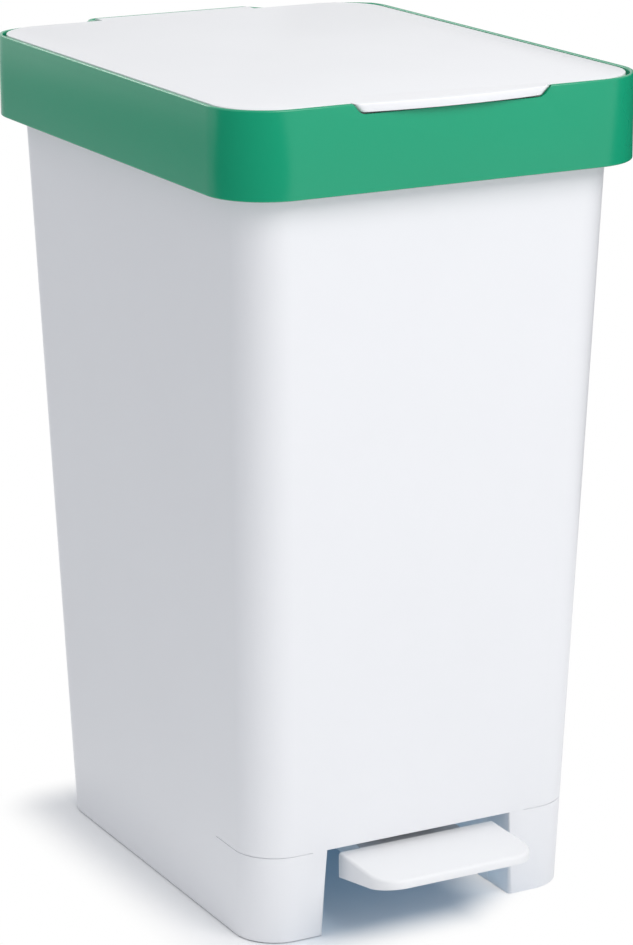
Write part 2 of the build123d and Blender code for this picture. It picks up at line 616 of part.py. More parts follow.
def all_nodes():
    """Every piece by name: one solid, or a list of alike ones."""
    nodes = {"tub": make_tub()}
    for name, (x, y) in foot_places().items():
        nodes["foot_pad_" + name] = make_foot_pad(x, y)
    nodes["saddle_cap_left"] = make_saddle_cap(-1)
    nodes["saddle_cap_right"] = make_saddle_cap(1)
    nodes["saddle_screws"] = make_saddle_screws()
    nodes["pedal_stop_pad"] = make_stop_pad()
    nodes["rod_guide_lower"] = make_rod_guide(GUIDE_LOW)
    nodes["rod_guide_upper"] = make_rod_guide(GUIDE_HIGH)
    nodes["rod_cover"] = make_rod_cover()
    nodes["cover_screws"] = [on_back(cover_screw(side)) for side in (-1, 1)]
    nodes["bag_ring"] = make_bag_ring()
    nodes["lid_hinge_pin_left"] = hinge_pin(-1)
    nodes["lid_hinge_pin_right"] = hinge_pin(1)
    nodes["lid_buffers"] = make_buffers()
    nodes["lid_panel"] = make_lid()
    nodes["pedal_tread"] = make_tread()
    nodes["pedal_lever"] = make_lever()
    nodes["tread_screws"] = make_tread_screws()
    nodes["pivot_pin"] = make_pivot_pin()
    nodes["pin_clips"] = make_pin_clips()
    nodes["push_rod"] = make_push_rod()
    nodes["rod_head"] = make_rod_head()
    nodes["rod_shoe"] = make_rod_shoe()
    return nodes


os.makedirs("parts", exist_ok=True)
for node, shape in all_nodes().items():
    solids = shape if isinstance(shape, list) else shape.solids()
    placed = [Pos(0, CENTRE_SHIFT, 0) * solid for solid in solids]
    export_step(placed[0] if len(placed) == 1 else Compound(children=placed), f"parts/{node}.step")

print(f"lid opens {LID_OPEN:.1f} deg, rod rises {ROD_STROKE:.2f} mm, pedal turns {PEDAL_TRAVEL:.3f} deg")
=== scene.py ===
# %% [markdown]
# Recycling pedal bin: dressing a CAD frame.
# The bin is a tapered white tub with a green bag ring over its rim, a white lid hinged in the ring,
# and a pedal that lifts a rod up the back to open the lid. The CAD model gives every piece its place
# and its motion. This script gives the pieces that are seen the soft edges, thin walls and finishes
# that they have on the real bin, and leaves the small steel and acetal pieces as the CAD drew them.

# %% Load the frame
from math import atan, cos, radians, sin, tan

import bmesh
import bpy
from mathutils import Matrix, Vector


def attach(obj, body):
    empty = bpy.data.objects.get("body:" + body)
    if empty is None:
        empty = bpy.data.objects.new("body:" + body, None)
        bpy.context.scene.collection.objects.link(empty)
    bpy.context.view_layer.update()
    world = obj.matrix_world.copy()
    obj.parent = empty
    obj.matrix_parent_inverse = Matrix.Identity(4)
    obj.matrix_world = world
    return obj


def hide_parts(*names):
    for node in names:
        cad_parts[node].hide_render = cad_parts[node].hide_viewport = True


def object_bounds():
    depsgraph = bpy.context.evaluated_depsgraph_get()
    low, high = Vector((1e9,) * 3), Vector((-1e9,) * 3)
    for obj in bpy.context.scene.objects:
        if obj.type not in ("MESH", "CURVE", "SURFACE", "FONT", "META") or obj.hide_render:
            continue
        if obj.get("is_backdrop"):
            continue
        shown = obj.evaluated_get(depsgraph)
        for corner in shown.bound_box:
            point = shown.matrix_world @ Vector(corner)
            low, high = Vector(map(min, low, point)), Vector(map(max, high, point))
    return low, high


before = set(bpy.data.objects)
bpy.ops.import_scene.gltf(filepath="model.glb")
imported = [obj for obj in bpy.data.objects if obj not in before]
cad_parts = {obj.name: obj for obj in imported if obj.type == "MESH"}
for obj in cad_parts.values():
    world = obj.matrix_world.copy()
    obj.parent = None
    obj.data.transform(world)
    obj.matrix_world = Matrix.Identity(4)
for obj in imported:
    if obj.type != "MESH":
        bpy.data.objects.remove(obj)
CAD_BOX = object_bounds()

# %% [markdown]
# Sizes. The CAD speaks millimetres and Blender metres, so sizes are written here in millimetres and
# turned by one small function. The tub is not centred on the origin: the tread sticks out a little
# further in front than the hinge housing does behind, so the tub's own middle lies 1.5 mm to the back.

# %% Sizes shared by several pieces
MIDDLE = 1.5            # y of the middle of the tub and of the ring
RIM_TOP = 448.0         # top of the tub's rim
FOOT_HALF = (101.25, 129.25)    # half width and half depth of the tub at the floor
RIM_HALF = (113.3, 152.95)      # and at the rim
SIDE_SLOPE = (RIM_HALF[0] - FOOT_HALF[0]) / RIM_TOP
END_SLOPE = (RIM_HALF[1] - FOOT_HALF[1]) / RIM_TOP
RING_HALF = (126.0, 165.0)
RING_TOP = 470.0
LEDGE_TOP = 450.4       # the ring's ledge, which sits on the tub's rim
HINGE = (170.0, 464.8)  # y and z of the lid's hinge
SLOT_HALF = 7.5         # way through for the rod's head


def mm(*values):
    """Millimetres to metres, for one value or several."""
    metres = tuple(value / 1000 for value in values)
    return metres[0] if len(metres) == 1 else metres


def tub_half(z, inset=0):
    """Half width and half depth of the tapered tub at a height, drawn in by inset."""
    return FOOT_HALF[0] + SIDE_SLOPE * z - inset, FOOT_HALF[1] + END_SLOPE * z - inset


def drawn_in(half, inset):
    """A half width and half depth, drawn in by inset."""
    return half[0] - inset, half[1] - inset


def centred(half):
    """The x and y ranges round the bin's middle, from a half width and half depth."""
    return (-half[0], half[0]), (MIDDLE - half[1], MIDDLE + half[1])


print("tub at the rim is", 2 * RIM_HALF[0], "by", 2 * RIM_HALF[1], "mm")

# %% [markdown]
# Camera. It stands where the photograph was taken from: to the left of the front and a little above
# the lid. A long lens from nearly two metres keeps the tub's upright edges almost parallel. The
# camera is turned by writing its three axes, because that also gives the small roll exactly.

# %% Camera
AZIMUTH, ELEVATION, ROLL = radians(-27.89), radians(15.95), radians(-0.29)
LOOK_AT = Vector(mm(6.08, MIDDLE, 225.37))
DISTANCE = 1.97624
LENS, FILM_WIDTH = 130.73, 36       # mm
FAR_END = 50                        # metres, beyond the floor's edge

back = Vector((sin(AZIMUTH) * cos(ELEVATION), -cos(AZIMUTH) * cos(ELEVATION), sin(ELEVATION)))
right = Vector((cos(AZIMUTH), sin(AZIMUTH), 0))
up = back.cross(right)
turned_right = right * cos(ROLL) + up * sin(ROLL)
turned_up = up * cos(ROLL) - right * sin(ROLL)

bpy.ops.object.camera_add()
camera = bpy.context.object
camera.name = "photo_camera"
camera.data.lens = LENS
camera.data.sensor_width = FILM_WIDTH
camera.data.clip_end = FAR_END
stand = LOOK_AT + back * DISTANCE
rows = [(turned_right[row], turned_up[row], back[row], stand[row]) for row in range(3)]
camera.matrix_world = Matrix(rows + [(0, 0, 0, 1)])
bpy.context.scene.camera = camera
print("camera at", [round(value, 3) for value in camera.matrix_world.translation])

# %% [markdown]
# Finishes start from a few small tools. Colours are chosen as sRGB hex values, the way a paint chart
# or a photograph gives them, and Blender's nodes want linear light, so one function turns them. The
# others add nodes and feed them, so each finish below reads as a short list of what feeds what.


# %% Tools for finishes
def linear(hex_colour):
    """An sRGB hex colour as linear red, green, blue and full alpha."""
    channels = [int(hex_colour[place:place + 2], 16) / 255 for place in (0, 2, 4)]
    return tuple(c / 12.92 if c <= 0.04045 else ((c + 0.055) / 1.055) ** 2.4 for c in channels) + (1.0,)


def feed(node, inputs):
    """Give inputs, named or numbered, a value or the output of another node."""
    for name, source in inputs.items():
        if isinstance(source, bpy.types.NodeSocket):
            node.id_data.links.new(source, node.inputs[name])
        else:
            node.inputs[name].default_value = source


def add_node(tree, kind, inputs=None, **settings):
    """Add a node. Settings are its properties, or values of inputs whose names are words."""
    node = tree.nodes.new(kind)
    for name, value in settings.items():
        if hasattr(node, name):
            setattr(node, name, value)
        else:
            node.inputs[name.replace("_", " ")].default_value = value
    feed(node, inputs or {})
    return node


def new_finish(name):
    """An empty material and its tree, with only a Principled shader and the output."""
    finish = bpy.data.materials.new(name)
    finish.use_nodes = True
    return finish, finish.node_tree, finish.node_tree.nodes["Principled BSDF"]


def noise(tree, place, size, **settings):
    """A noise whose patches are size mm wide."""
    node = add_node(tree, "ShaderNodeTexNoise", {"Vector": place}, Scale=1 / mm(size), **settings)
    return node.outputs["Fac"]


def mixed(tree, share, first, second):
    """A mix of two hex colours by a share from 0 to 1."""
    inputs = {0: share, 6: linear(first), 7: linear(second)}
    return add_node(tree, "ShaderNodeMix", inputs, data_type="RGBA").outputs[2]


def maths(tree, operation, first, second):
    """What an operation makes of two values."""
    return add_node(tree, "ShaderNodeMath", {0: first, 1: second}, operation=operation).outputs["Value"]


def give_finish(piece, finish):
    """Let a piece wear one finish and no other."""
    piece.data.materials.clear()
    piece.data.materials.append(finish)


print("pure white in linear light:", linear("FFFFFF")[:3])


# %% [markdown]
# Moulded polypropylene. The tub, ring, lid and tread are injection moulded in a tool with a fine
# spark-eroded grain. That gives a satin surface: broad, soft highlights, and a grain of about a
# third of a millimetre that is felt more than seen. Large mouldings also cool unevenly, so their
# walls wave a little, which shows only in the highlights. Three noises give these: a grain and a
# wave that feed the bump, and a cloud that moves the roughness and, by a trace, the colour. The real
# grain is too fine to show at this distance, so it is drawn at 0.9 mm.


# %% Moulded polypropylene
CLOUD_SIZE, GRAIN_SIZE, WAVE_SIZE = 90, 0.9, 70     # mm
UNEVEN = 0.05           # how far the roughness moves either way
POLYPROPYLENE_IOR = 1.49


def moulded_polypropylene(name, colour, deeper, roughness, grain_depth, wave_depth):
    """Satin moulded plastic: colour, a deeper tone of it for the cloud, and how rough it is."""
    finish, tree, shader = new_finish(name)
    place = add_node(tree, "ShaderNodeTexCoord").outputs["Object"]
    cloud = noise(tree, place, CLOUD_SIZE, Detail=3.0, Roughness=0.55)
    grain = noise(tree, place, GRAIN_SIZE, Detail=2.0, Roughness=0.6)
    wave = noise(tree, place, WAVE_SIZE, Detail=1.0, Roughness=0.4)
    uneven = add_node(tree, "ShaderNodeMapRange", {"Value": cloud},
                      To_Min=roughness - UNEVEN, To_Max=roughness + UNEVEN)
    slow = add_node(tree, "ShaderNodeBump", {"Height": wave}, Strength=1.0, Distance=mm(wave_depth))
    fine = add_node(tree, "ShaderNodeBump", {"Height": grain, "Normal": slow.outputs["Normal"]},
                    Strength=1.0, Distance=mm(grain_depth))
    feed(shader, {"Base Color": mixed(tree, cloud, colour, deeper), "Roughness": uneven.outputs["Result"],
                  "Normal": fine.outputs["Normal"], "IOR": POLYPROPYLENE_IOR})
    return finish


white_tub = moulded_polypropylene("moulded_polypropylene_white", "F1F2F5", "EEEFF2", 0.42, 0.012, 0.05)
white_lid = moulded_polypropylene("moulded_polypropylene_white_lid", "F1F2F5", "EEEFF2", 0.36, 0.010, 0.05)
white_tread = moulded_polypropylene("moulded_polypropylene_white_tread", "F3F4F6", "F0F1F3", 0.6, 0.016, 0.03)
green_ring = moulded_polypropylene("moulded_polypropylene_green", "0A9D74", "089970", 0.26, 0.010, 0.05)
print("moulded finishes:", white_tub.name, white_lid.name, white_tread.name, green_ring.name)

# %% [markdown]
# Tools for modelling. Each piece starts as a cube at its real size and is shaped in edit mode, as by
# hand. What a hand does with clicks is done here by place: one function opens a piece, and another
# selects the vertices, edges or faces whose middle and direction pass a test. Its places are in
# millimetres, so the tests read like the drawing.


# %% Tools for modelling
NEAR = 0.1                  # mm: a vertex, edge or face this near to a place is taken to be there
PAST, FAR_PAST = 1.0, 5.0   # mm: how far a cutter reaches past what it cuts
HAIR = 0.05                 # mm: a gap so fine that two surfaces never quite touch
DOUBLES = 0.02              # mm: vertices nearer than this are one
SHARP = 32                  # degrees: an edge that turns more than this is a corner, and others shade smooth


def leave_editing():
    """Close any open mesh and select nothing."""
    if bpy.context.mode != "OBJECT":
        bpy.ops.object.mode_set(mode="OBJECT")
    bpy.ops.object.select_all(action="DESELECT")


def start_block(name, x, y, z):
    """A cube that fills three ranges in millimetres, its object at the origin."""
    leave_editing()
    bpy.ops.mesh.primitive_cube_add(size=1)
    piece = bpy.context.object
    piece.name = name
    piece.data.name = name
    piece.scale = [mm(high - low) for low, high in (x, y, z)]
    piece.location = [mm(low + high) / 2 for low, high in (x, y, z)]
    bpy.ops.object.transform_apply(location=True, rotation=True, scale=True)
    return piece


def start_rod(name, axis, centre, radius, length, sides=48):
    """A cylinder along X, Y or Z, its object at the origin."""
    turn = {"X": (0, radians(90), 0), "Y": (radians(90), 0, 0), "Z": (0, 0, 0)}[axis]
    leave_editing()
    bpy.ops.mesh.primitive_cylinder_add(vertices=sides, radius=mm(radius), depth=mm(length),
                                        location=mm(*centre), rotation=turn)
    piece = bpy.context.object
    piece.name = name
    bpy.ops.object.transform_apply(location=True, rotation=True, scale=True)
    return piece


def work_on(piece, mode="EDIT"):
    """Make a piece the only selected one, and open it for editing or close it."""
    leave_editing()
    piece.select_set(True)
    bpy.context.view_layer.objects.active = piece
    bpy.ops.object.mode_set(mode=mode)


def pick(kind, test, sharper_than=0):
    """Select the VERTs, EDGEs or FACEs whose middle, in mm, and direction pass a test.

    With an angle in degrees, only edges whose two faces meet at more than it are taken.
    """
    bpy.ops.mesh.select_mode(type=kind)
    bpy.ops.mesh.select_all(action="DESELECT")
    mesh = bmesh.from_edit_mesh(bpy.context.edit_object.data)
    found = 0
    for item in {"VERT": mesh.verts, "EDGE": mesh.edges, "FACE": mesh.faces}[kind]:
        if kind == "VERT":
            middle, direction = item.co, item.normal
        elif kind == "EDGE":
            middle = (item.verts[0].co + item.verts[1].co) / 2
            direction = (item.verts[1].co - item.verts[0].co).normalized()
        else:
            middle, direction = item.calc_center_median(), item.normal
        if sharper_than and item.calc_face_angle(0) < radians(sharper_than):
            continue
        if test(middle * 1000, direction):
            item.select_set(True)
            found += 1
    mesh.select_flush_mode()
    bmesh.update_edit_mesh(bpy.context.edit_object.data)
    return found


def move(x=0, y=0, z=0):
    """Move what is selected."""
    bpy.ops.transform.translate(value=mm(x, y, z))


def pull_out(x=0, y=0, z=0):
    """Extrude the selected faces and move them."""
    bpy.ops.mesh.extrude_region_move(TRANSFORM_OT_translate={"value": mm(x, y, z)})


def spread(centre, old_half, new_half):
    """Scale what is selected across X and Y, so that one half width and depth becomes another."""
    factors = (new_half[0] / old_half[0], new_half[1] / old_half[1], 1)
    bpy.ops.transform.resize(value=factors, center_override=mm(0, centre, 0))


def inset_by(width):
    """Inset the selected faces by a width in mm."""
    bpy.ops.mesh.inset(thickness=mm(width), use_even_offset=True)


def round_off(width, steps=3):
    """Round the selected edges by a width in mm."""
    bpy.ops.mesh.bevel(offset=mm(width), segments=steps, affect="EDGES")


def combine(piece, tool, how):
    """Cut a tool out of a piece, or join it on, and remove the tool."""
    work_on(piece, "OBJECT")
    step = piece.modifiers.new("combine", "BOOLEAN")
    step.operation = how
    step.solver = "EXACT"
    step.object = tool
    bpy.ops.object.modifier_apply(modifier=step.name)
    bpy.data.objects.remove(tool)


def join(piece, *block):
    """Join a block on, given by its name and its x, y and z ranges."""
    combine(piece, start_block(*block), "UNION")


def cut(piece, *block):
    """Cut a block out, given by its name and its x, y and z ranges."""
    combine(piece, start_block(*block), "DIFFERENCE")


def soften(piece, width, steps=2):
    """Round every sharp edge, tidy the mesh and shade it smooth."""
    work_on(piece)
    bpy.ops.mesh.select_all(action="SELECT")
    bpy.ops.mesh.remove_doubles(threshold=mm(DOUBLES))
    work_on(piece, "OBJECT")
    step = piece.modifiers.new("edges", "BEVEL")
    step.width = mm(width)
    step.segments = steps
    step.limit_method = "ANGLE"
    step.angle_limit = radians(SHARP)
    step.use_clamp_overlap = True
    step.harden_normals = False
    bpy.ops.object.modifier_apply(modifier=step.name)
    bpy.ops.object.shade_smooth_by_angle(angle=radians(SHARP))
    print(piece.name, "has", len(piece.data.polygons), "faces")


def flat_up(middle, direction):
    """True for a face that points up."""
    return direction.z > 0.9


def flat_down(middle, direction):
    """True for a face that points down."""
    return direction.z < -0.9


def upright(middle, direction):
    """True for an edge that stands nearly straight up."""
    return abs(direction.z) > 0.9


# %% [markdown]
# The tub, its walls. On the real bin it is one thin moulding that tapers, so that the tool can draw
# out of it and so that tubs stack. It could be a solid with a Solidify modifier, but its floor sits
# 52 mm up, with a skirt below. So the block keeps its outside, and its inside is made twice: the top
# face is inset by the wall thickness and pushed down to the floor, and the bottom face is inset and
# pushed up to it.

# %% Tub: block, taper and rounded corners
TUB_WALL = 2.4
TUB_CORNER = 25.0
SKIRT_LOW = 0.8
FLOOR_UNDER, FLOOR_TOP = 51.8, 54.2
FLOOR_ROUND = 7.0       # where the inside turns from wall to floor

foot = tub_half(SKIRT_LOW)
tub = start_block("tub_moulding", *centred(foot), (SKIRT_LOW, RIM_TOP))
work_on(tub)
pick("FACE", flat_up)
spread(MIDDLE, foot, RIM_HALF)
pick("EDGE", upright)
round_off(TUB_CORNER, steps=16)

pick("FACE", flat_up)
inset_by(TUB_WALL)
pull_out(z=FLOOR_TOP - RIM_TOP)
spread(MIDDLE, tub_half(RIM_TOP, TUB_WALL), tub_half(FLOOR_TOP, TUB_WALL))
pick("EDGE", lambda middle, direction: abs(middle.z - FLOOR_TOP) < NEAR)
round_off(FLOOR_ROUND, steps=5)

pick("FACE", flat_down)
inset_by(TUB_WALL)
pull_out(z=FLOOR_UNDER - SKIRT_LOW)
spread(MIDDLE, tub_half(SKIRT_LOW, TUB_WALL), tub_half(FLOOR_UNDER, TUB_WALL))
print("wall", TUB_WALL, "mm thick, floor", round(FLOOR_TOP - FLOOR_UNDER, 1), "mm thick")

# %% [markdown]
# The rim. Under the ring the tub's edge turns outwards and then down, which makes it stiff and gives
# the ring a flat seat. It shows when the ring is lifted off. The band just under the top is picked
# and extruded twice, outwards only, so that the rim stays level, and its outer underside is then
# pulled down into a lip.

# %% Tub: rim and lip
RIM_THICK = 2.4
LIP_LOW = 436.0
LIP_THICK = 2.2
RIM_EDGE = (121.7, 161.3)       # half width and half depth of the rim's outer edge

bpy.ops.mesh.select_all(action="SELECT")
bpy.ops.mesh.bisect(plane_co=mm(0, 0, RIM_TOP - RIM_THICK), plane_no=(0, 0, 1))


def rim_band(middle, direction):
    """True for the outer faces between the rim's underside and its top."""
    outwards = direction.x * middle.x + direction.y * (middle.y - MIDDLE) > 0
    return middle.z > RIM_TOP - RIM_THICK and abs(direction.z) < 0.5 and outwards


pick("FACE", rim_band)
pull_out()
spread(MIDDLE, RIM_HALF, drawn_in(RIM_EDGE, LIP_THICK))
pull_out()
spread(MIDDLE, drawn_in(RIM_EDGE, LIP_THICK), RIM_EDGE)


def lip_underside(middle, direction):
    """True for the outermost faces under the rim."""
    inner = drawn_in(RIM_EDGE, LIP_THICK)
    beyond = abs(middle.x) > inner[0] or abs(middle.y - MIDDLE) > inner[1]
    out = (abs(middle.x) - RIM_EDGE[0] + TUB_CORNER, abs(middle.y - MIDDLE) - RIM_EDGE[1] + TUB_CORNER)
    corner = min(out) > 0 and (out[0] ** 2 + out[1] ** 2) ** 0.5 > TUB_CORNER - LIP_THICK
    return flat_down(middle, direction) and middle.z > RIM_TOP - RIM_THICK - 1 and (beyond or corner)


print("faces pulled down into the lip:", pick("FACE", lip_underside))
pull_out(z=LIP_LOW - RIM_TOP + RIM_THICK)

# %% [markdown]
# Under the floor. The pedal lives in a tunnel that runs from the cut-out in the front to a slot at
# the back, between two thin walls that lean out a little, so that the tool could draw out of it. Two
# bearing blocks hang from the floor for the pedal's pin, and four posts carry the feet. These are
# blocks and cylinders joined to the tub by a Boolean, and the tunnel, the groove for the pin and the
# two slots are cut after, so that every cut goes through clean.

# %% Tub: tunnel, posts and bearings
TUNNEL_HALF = 58.3
TUNNEL_LEAN = 1.5
TUNNEL_WALL = 2.2
IN_TUNNEL = 0.3                 # the walls are drawn this much too thick, and the tunnel cuts them clean
CUT_OUT_Y = (MIDDLE - 156, MIDDLE - 106)        # from before the tub's front to inside it
PIVOT = (21.5, 35.0)            # y and z of the pedal's pin
PIN_RADIUS, GROOVE_LONG = 3.0, 60
BEARING_X = (16.5, 28.5)
BEARING_HALF = 16.0
TAIL_HALF, TAIL_Y, TAIL_LOW = 9.0, (MIDDLE + 117, MIDDLE + 141), 22.8       # slot for the lever's tail
RIM_SLOT_BACK, RIM_SLOT_Z = 176.0, (430, 455)       # slot in the rim for the rod
POST_RADIUS, POST_LOW = 9.0, 2.6                    # posts of the feet
PAD_PLACES = [(sx * 83.25, MIDDLE + sy * 111.25) for sx in (-1, 1) for sy in (-1, 1)]
IN_FLOOR = 53.0                 # height inside the floor's thickness, where pieces are joined on


def both_sides(low, high):
    """The same X range on the left and on the right."""
    return (-high, -low), (low, high)


for x in both_sides(TUNNEL_HALF - IN_TUNNEL, TUNNEL_HALF + TUNNEL_WALL):
    reach = tub_half(SKIRT_LOW, TUB_WALL / 2)[1]
    wall = start_block("tunnel_wall", x, (MIDDLE - reach, MIDDLE + reach), (SKIRT_LOW, IN_FLOOR))
    work_on(wall)
    pick("FACE", flat_up)
    spread(MIDDLE, (1, reach), (1, tub_half(IN_FLOOR, TUB_WALL / 2)[1]))
    pick("FACE", flat_down)
    move(x=TUNNEL_LEAN if x[0] > 0 else -TUNNEL_LEAN)
    combine(tub, wall, "UNION")
for x, y in PAD_PLACES:
    post = start_rod("foot_post", "Z", (x, y, (POST_LOW + IN_FLOOR) / 2), POST_RADIUS, IN_FLOOR - POST_LOW)
    combine(tub, post, "UNION")
for x in both_sides(*BEARING_X):
    y = (PIVOT[0] - BEARING_HALF, PIVOT[0] + BEARING_HALF)
    join(tub, "bearing", x, y, (PIVOT[1], IN_FLOOR))

tunnel = start_block("tunnel", (-TUNNEL_HALF, TUNNEL_HALF), CUT_OUT_Y, (SKIRT_LOW - PAST, FLOOR_UNDER))
work_on(tunnel)
pick("FACE", flat_down)
spread(0, (TUNNEL_HALF, 1), (TUNNEL_HALF + TUNNEL_LEAN, 1))
combine(tub, tunnel, "DIFFERENCE")
pin_groove = start_rod("pin_groove", "X", (0, *PIVOT), PIN_RADIUS + HAIR, GROOVE_LONG)
combine(tub, pin_groove, "DIFFERENCE")
cut(tub, "tail_slot", (-TAIL_HALF, TAIL_HALF), TAIL_Y, (TAIL_LOW, FLOOR_UNDER - HAIR))
cut(tub, "rim_slot", (-SLOT_HALF, SLOT_HALF), (MIDDLE + RIM_HALF[1], RIM_SLOT_BACK), RIM_SLOT_Z)
print("the tub has", len(tub.data.polygons), "faces after cutting")

# %% [markdown]
# The edges. The upright edges of the cut-out are rounded by 2 mm, as the photograph shows by the soft
# shading at its right side. Every other edge gets less than half a millimetre.

# %% Tub: edges
CUT_OUT_ROUND, TUB_EDGE = 2.0, 0.45


def cut_out_edge(middle, direction):
    """True for the upright edges of the cut-out in the tub's front."""
    beside = TUNNEL_HALF - 1 < abs(middle.x) < TUNNEL_HALF + TUNNEL_LEAN + 0.5
    on_front = abs(middle.y - MIDDLE + tub_half(middle.z)[1]) < 2 * NEAR
    return upright(middle, direction) and beside and on_front


work_on(tub)
print("upright edges of the cut-out:", pick("EDGE", cut_out_edge))
round_off(CUT_OUT_ROUND, steps=5)
soften(tub, TUB_EDGE)

# %% [markdown]
# The step line. Just above the skirt the photograph shows a fine dark line round the tub's front
# corner, where two parts of the mould met. It fades out along the flat walls, and the rear corner has
# none. It is a groove 0.6 mm tall. Two bisect cuts give it a top and a bottom, and three more part the
# band beyond the front corners. What lies between is extruded and scaled in, and its ends are then
# scaled out again, so that the groove runs out to nothing. It comes after the edges are softened, so
# that it stays crisp.

# %% Tub: step line
STEP, STEP_TALL, STEP_DEEP = 52.0, 0.6, 0.5
RUN_ON = (9, 20)            # how far it runs on along the front and the side
LINE_ENDS = (foot[0] - TUB_CORNER - RUN_ON[0], foot[1] - TUB_CORNER - RUN_ON[1])    # x and y of its ends
END_REACH, END_SUNK = 0.25, 0.3     # how the vertices at its ends are told from the others


def in_band(middle, direction):
    """True for the faces between the groove's top and bottom."""
    return STEP - STEP_TALL < middle.z < STEP and abs(direction.z) < 0.5


def in_groove(middle, direction):
    """True for those of them that are near a front corner."""
    return in_band(middle, direction) and abs(middle.x) > LINE_ENDS[0] and MIDDLE - middle.y > LINE_ENDS[1]


def groove_end(middle, direction):
    """True for the sunken vertices at the groove's ends."""
    level = STEP - STEP_TALL - NEAR < middle.z < STEP + NEAR
    away = min(abs(abs(middle.x) - LINE_ENDS[0]), abs(MIDDLE - middle.y - LINE_ENDS[1]))
    out = max(abs(middle.x) - foot[0], abs(middle.y - MIDDLE) - foot[1])
    return level and away < END_REACH and out < tub_half(STEP)[0] - foot[0] - END_SUNK


work_on(tub)
for height in (STEP, STEP - STEP_TALL):
    bpy.ops.mesh.select_all(action="SELECT")
    bpy.ops.mesh.bisect(plane_co=mm(0, 0, height), plane_no=(0, 0, 1))
print("the groove is", STEP_TALL, "mm tall and", STEP_DEEP, "mm deep")

# %% Tub: groove of the step line
end_cuts = (
    ((-LINE_ENDS[0], 0, 0), (1, 0, 0)),
    ((LINE_ENDS[0], 0, 0), (1, 0, 0)),
    ((0, MIDDLE - LINE_ENDS[1], 0), (0, 1, 0)),
)
for place, across in end_cuts:
    pick("FACE", in_band)
    bpy.ops.mesh.bisect(plane_co=mm(*place), plane_no=across)
print("faces of the step line:", pick("FACE", in_groove))
pull_out()
spread(MIDDLE, FOOT_HALF, drawn_in(FOOT_HALF, STEP_DEEP))
print("vertices at its ends:", pick("VERT", groove_end))
spread(MIDDLE, drawn_in(FOOT_HALF, STEP_DEEP), FOOT_HALF)
work_on(tub, "OBJECT")
bpy.ops.object.shade_smooth_by_angle(angle=radians(SHARP))
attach(tub, "base")
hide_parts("tub")
give_finish(tub, white_tub)

# %% [markdown]
# The bag ring. A green moulding that drops over the rim and traps the bag: an outer wall, a ledge
# that sits on the tub, and a collar that hangs inside it. Behind, its wall swells into a housing for
# the lid's hinge, with S curves at both ends. The swelling is drawn first, by extruding part of the
# back face and rounding its four upright edges, so that the inset that makes the wall follows it.

# %% Ring: outside and hinge housing
RING_WALL = 2.4
RING_LOW = 423.0
RING_CORNER = 34.5
HOUSING_BACK = 178.0
HOUSING_ROOT, HOUSING_END, HOUSING_ROUND = 58.5, 51.5, 6.0
LEDGE_LOW = 448.0
ring_back = MIDDLE + RING_HALF[1]

ring = start_block("bag_ring_moulding", *centred(RING_HALF), (RING_LOW, RING_TOP))
work_on(ring)
pick("EDGE", upright)
round_off(RING_CORNER, steps=18)
for x in (-HOUSING_ROOT, HOUSING_ROOT):
    pick("FACE", lambda middle, direction: direction.y > 0.99)
    bpy.ops.mesh.bisect(plane_co=mm(x, 0, 0), plane_no=(1, 0, 0))
pick("FACE", lambda middle, direction: direction.y > 0.99 and abs(middle.x) < 1)
pull_out(y=HOUSING_BACK - ring_back)
spread(MIDDLE, (HOUSING_ROOT, 1), (HOUSING_END, 1))
for level in (flat_up, flat_down):
    pick("FACE", level)
    bpy.ops.mesh.dissolve_faces()
lean = atan((HOUSING_BACK - ring_back) / (HOUSING_ROOT - HOUSING_END))
pick("EDGE", lambda middle, direction: upright(middle, direction) and middle.y > ring_back - NEAR
     and abs(middle.x) < HOUSING_ROOT + 1)
round_off(HOUSING_ROUND * tan(lean / 2), steps=8)
work_on(ring, "OBJECT")
bpy.ops.object.duplicate()
outline = bpy.context.object
work_on(outline)
bpy.ops.mesh.select_all(action="SELECT")
spread(MIDDLE, RING_HALF, drawn_in(RING_HALF, RING_WALL / 2))

# %% [markdown]
# The wall. Both ends of the block are inset by its thickness and pushed in as far as the ledge. Behind,
# the ring's top edge lies 1 mm lower than in front, so that from the camera's height the lid's back
# edge covers it, as in the photograph. The edge is nearly a full round, which the light catches, and
# so is the ring's foot.

# %% Ring: wall and ledge
BACK_FALL = 1.0
FALL_PLACES = (146, 150, 154, 158, 161)     # distances behind the middle where the edge steps down
TOP_ROUND, FOOT_ROUND = 1.0, 0.9


def ring_top(middle, direction):
    """True for the edges round the wall's top, which falls behind."""
    return middle.z > RING_TOP - BACK_FALL - NEAR and abs(direction.z) < 0.5


def ring_foot(middle, direction):
    """True for the edges round the wall's foot."""
    return middle.z < RING_LOW + NEAR and abs(direction.z) < 0.5


work_on(ring)
pick("FACE", flat_up)
inset_by(RING_WALL)
pull_out(z=LEDGE_TOP - RING_TOP)
pick("FACE", flat_down)
inset_by(RING_WALL)
pull_out(z=LEDGE_LOW - RING_LOW)

# The top edge falls behind, in small steps round the rear corners, and is then rounded all along.
for away in FALL_PLACES:
    pick("VERT", lambda middle, direction: middle.z > RING_TOP - 2 and middle.y > MIDDLE + away)
    move(z=-BACK_FALL / len(FALL_PLACES))
print("edges of the ring's top:", pick("EDGE", ring_top, sharper_than=SHARP))
round_off(TOP_ROUND, steps=4)
print("edges of the ring's foot:", pick("EDGE", ring_foot, sharper_than=SHARP))
round_off(FOOT_ROUND, steps=4)

# %% [markdown]
# The throat and the collar. The collar follows the tub's inside, so it tapers with it. A tapered
# block gives the collar's outside and is joined on, and a second one, 2 mm smaller, is cut out of
# both the collar and the ledge, which opens the throat.

